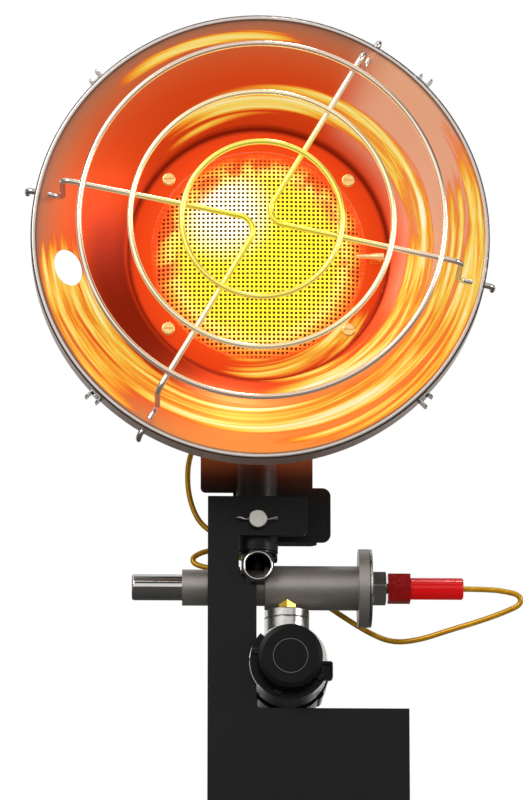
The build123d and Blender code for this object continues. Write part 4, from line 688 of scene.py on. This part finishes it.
# the ramp browns towards the dish: partly scorch, partly painted light of the dish
scorch_and_painted_glow = set_stops(add(tree, RAMP, {"Fac": level}), [
    (0.0, "#100F0E"), (0.20, "#1C110C"), (0.38, "#451C0E"), (0.60, "#7E3A1A"), (0.78, "#5A3018"),
    (1.0, "#2A1C14")])
peel = add(tree, NOISE, {"Vector": place, "Scale": 1 / (2.2 * MM), "Detail": 3.0}).outputs["Fac"]
gloss = add(tree, RANGE, {"Value": peel, "From Min": 0.3, "From Max": 0.7, "To Min": 0.34,
                          "To Max": 0.5}).outputs[0]
edge = add(tree, BEVEL, {"Radius": 0.5 * MM}, samples=4).outputs[0]
peel_bump = add(tree, BUMP, {"Height": peel, "Strength": 0.12, "Distance": 0.05 * MM,
                             "Normal": edge}).outputs[0]
# painted glow: the strip under the rim sends out this colour as emission
painted_glow_strip = mask(tree, (high, 108 * MM, 130 * MM), (high, 150 * MM, 132 * MM))
painted_glow_strength = add(tree, MATH, {0: painted_glow_strip, 1: 0.35}, operation="MULTIPLY").outputs[0]
close_finish(tree, add(tree, SURFACE, {
    "Base Color": scorch_and_painted_glow, "Roughness": gloss, "Specular IOR Level": 0.2, "Normal": peel_bump,
    "Emission Color": scorch_and_painted_glow, "Emission Strength": painted_glow_strength}))
dress(enamel, "burner_tube", "head_bracket", "support_bracket")

# the housing is a casting with the same enamel; its pores, 0.8 mm apart, break up the shine
dress(plain_finish("black_enamelled_casting", 0.8 * MM, [(0.3, "#0C0B0B"), (0.7, "#141312")], (0.22, 0.4),
                   bump=0.03 * MM, edge=0.4 * MM, Specular_IOR_Level=0.4), "injector_housing")
print("black parts dressed")

# %% [markdown]
# ## Valve, regulator and their metals
# The safety valve and its flange are die-cast and left satin grey. The regulator is brighter. The
# button, the nut and the air port's ring are chrome plated, and the union is turned brass. Each
# finish is the same recipe with other numbers: how large its spots are, its two tones, its span of
# roughness, and how much its edges are worn round.

# %% Metals
dress(plain_finish("satin_die_cast_aluminium", 0.6 * MM, [(0.3, "#98928B"), (0.7, "#ADA8A1")], (0.38, 0.5),
                   bump=0.01 * MM, edge=0.4 * MM, Metallic=0.8), "valve_body")
dress(plain_finish("turned_aluminium_cap", 3 * MM, [(0.3, "#BDB9B3"), (0.7, "#D2CFCA")], (0.2, 0.34),
                   edge=0.25 * MM, Metallic=1.0), "valve_cap")
dress(plain_finish("satin_die_cast_zinc", 3.0 * MM, [(0.3, "#C2BEB8"), (0.7, "#D2CFC9")], (0.18, 0.28),
                   bump=0.01 * MM, edge=0.4 * MM, Metallic=1.0), "regulator_body")
dress(plain_finish("bright_chrome_plate", 6 * MM, [(0.3, "#CFCCC8"), (0.7, "#DAD8D4")], (0.04, 0.12),
                   edge=0.3 * MM, Metallic=1.0), "air_inlet_ring", "safety_button", "thermocouple_nut")
dress(plain_finish("turned_brass", 5 * MM, [(0.3, "#BE9030"), (0.7, "#DDB84E")], (0.14, 0.28),
                   Metallic=1.0),
      "outlet_fitting", "inlet_nipple", "valve_poppet", "control_stem", "spring_plate")
# the jet sits deep in the air port: its brass is painted nearly black, painted shade of the dark inside of
# the housing
dress(plain_finish("brass_painted_dark_in_port", 1.5 * MM, [(0.3, "#1A160E"), (0.7, "#2C2516")], (0.45, 0.7),
                   Metallic=0.6), "injector")
dress(plain_finish("oil_tempered_spring_steel", 3 * MM, [(0.3, "#5E6066"), (0.7, "#7C7E82")], (0.26, 0.4),
                   Metallic=1.0),
      "button_spring", "poppet_spring", "regulator_spring", "armature", "magnet_cup", "magnet")
print("metals dressed")

# %% [markdown]
# ## Red boot, golden lead and black mouldings
# The boot is soft red vinyl: its hexagon is darker than its tail. The lead is copper with a golden
# lacquer. Knob, bonnet and hand nut are moulded nylon, the knob satin and the other two smoother.
# The black parts differ only in how they shine, because that is all the eye has to tell them apart.

# %% Boot and lead
BOOT_STEP = 71.2 * MM        # the hexagon ends and the tail begins
vinyl, tree, place = new_finish("red_vinyl_boot")
along = add(tree, SPLIT, {0: place}).outputs["X"]
hexagon_red, vinyl_rough = uneven(tree, place, 5 * MM, [(0.3, "#780606"), (0.7, "#860A0A")],
                                  (0.10, 0.18))[1:]
tail = mask(tree, (along, BOOT_STEP - 0.1 * MM, BOOT_STEP + 0.1 * MM))
boot_tone = tinted(tree, hexagon_red, (tail, 1.0, "#CC080A"))
boot_edge = add(tree, BEVEL, {"Radius": 0.5 * MM}, samples=4).outputs[0]
close_finish(tree, add(tree, SURFACE, {
    "Base Color": boot_tone, "Roughness": vinyl_rough, "Specular IOR Level": 0.4, "Normal": boot_edge}))
dress(vinyl, "lead_boot")

# lacquer over copper: it mirrors little, and its gold is painted darker where the tube turns away from the
# eye, painted shade along its sides
lacquer, tree, place = new_finish("gold_lacquered_copper")
gold_tone, lead_rough = uneven(tree, place, 7 * MM, [(0.3, "#B98210"), (0.7, "#CE9A1E")], (0.28, 0.4))[1:]
away = add(tree, "ShaderNodeLayerWeight", {"Blend": 0.5}).outputs["Facing"]
lead_tone_painted_edge_shade = tinted(tree, gold_tone, (mask(tree, (away, 0.35, 0.95)), 0.85, "#5E3804"))
close_finish(tree, add(tree, SURFACE, {
    "Base Color": lead_tone_painted_edge_shade, "Metallic": 0.45, "Roughness": lead_rough, "Specular IOR Level": 0.4}))
lead_curve.materials.append(lacquer)
dress(lacquer, "thermocouple_lead", "lead_terminal")
print("boot and lead dressed")

# %% Mouldings and seals
KNOB_RING = (9.75 * MM, 10.25 * MM)      # the groove turned in the knob's face, coloured light grey
satin_nylon, tree, place = new_finish("satin_black_nylon")
grain, nylon_tone, nylon_rough = uneven(tree, place, 0.35 * MM, [(0.3, "#0B0B0B"), (0.7, "#111111")],
                                        (0.34, 0.46))
off_axis = add(tree, VECTOR, {0: place, 1: (1, 0, 1)}, operation="MULTIPLY").outputs[0]
from_knob_axis = add(tree, VECTOR, {0: off_axis}, operation="LENGTH").outputs["Value"]
# a light grey ring laid into the colour along the knob's groove
grey_groove_ring = mask(tree, (from_knob_axis, KNOB_RING[0], KNOB_RING[0] + 0.1 * MM),
            (from_knob_axis, KNOB_RING[1], KNOB_RING[1] - 0.1 * MM))
worn_edge = add(tree, BEVEL, {"Radius": 0.45 * MM}, samples=4).outputs[0]
grain_bump = add(tree, BUMP, {"Height": grain, "Strength": 0.5, "Distance": 0.006 * MM,
                              "Normal": worn_edge}).outputs[0]
close_finish(tree, add(tree, SURFACE, {
    "Base Color": tinted(tree, nylon_tone, (grey_groove_ring, 0.55, "#8E8E8C")), "Roughness": nylon_rough,
    "Specular IOR Level": 0.12, "Normal": grain_bump}))
dress(satin_nylon, "control_knob")
gloss_nylon = plain_finish("smooth_black_nylon", 12 * MM, [(0.3, "#080808"), (0.7, "#0E0E0E")],
                           (0.16, 0.3), edge=0.5 * MM, Specular_IOR_Level=0.12)
dress(gloss_nylon, "regulator_bonnet", "hand_nut")
dress(plain_finish("nitrile_rubber", 3 * MM, [(0.3, "#161616"), (0.7, "#242424")], (0.68, 0.82),
                   Specular_IOR_Level=0.3), "stem_seal", "poppet_seal", "regulator_diaphragm")
undressed = [name for name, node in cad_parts.items()
             if not node.data.materials or not node.data.materials[0].use_nodes]
print("materials:", len(bpy.data.materials), "undressed:", undressed)

# %% [markdown]
# ## Thread in the hand nut
# The solid nut has a plain bore, because a thread would make the model heavy and no other piece
# needs its shape. The real nut has a coarse rounded thread, five turns to the inch, that one sees
# from behind. It is one spiral with a round section, half sunk in the wall, again as a node tree.

# %% Hand nut's thread
BORE_R = 16.67 * MM
THREAD_PITCH = 25.4 / 5 * MM
THREAD_LENGTH = 11.0 * MM
THREAD_START = 3.4 * MM      # from the nut's mouth
RIDGE_R = 1.5 * MM
spiral_tree = bpy.data.node_groups.new("rounded_inner_thread", "GeometryNodeTree")
thread_values = {add_socket(spiral_tree, name, "NodeSocketFloat", value): value for name, value in
                 (("Bore radius", BORE_R), ("Length", THREAD_LENGTH), ("Pitch", THREAD_PITCH),
                  ("Ridge radius", RIDGE_R))}
spiral_tree.interface.new_socket("Geometry", in_out="OUTPUT", socket_type="NodeSocketGeometry")
group = spiral_tree.nodes.new("NodeGroupInput").outputs
turns = add(spiral_tree, MATH, {0: group["Length"], 1: group["Pitch"]}, operation="DIVIDE")
spiral = add(spiral_tree, "GeometryNodeCurveSpiral", {
    "Resolution": 48, "Rotations": turns.outputs[0], "Start Radius": group["Bore radius"],
    "End Radius": group["Bore radius"], "Height": group["Length"]})
ridge = add(spiral_tree, "GeometryNodeCurvePrimitiveCircle", {
    "Resolution": 10, "Radius": group["Ridge radius"]})
swept = add(spiral_tree, "GeometryNodeCurveToMesh", {
    "Curve": spiral.outputs[0], "Profile Curve": ridge.outputs[0], "Fill Caps": True})
laid = add(spiral_tree, "GeometryNodeTransform", {
    "Geometry": swept.outputs[0], "Rotation": (math.pi / 2, 0, 0), "Translation": (0, -THREAD_START, 0)})
close_tree(spiral_tree, laid.outputs[0], gloss_nylon)
thread = grow("hand_nut_thread", spiral_tree, thread_values, "cylinder_nut")
print("thread has", len(thread.data.polygons), "faces")
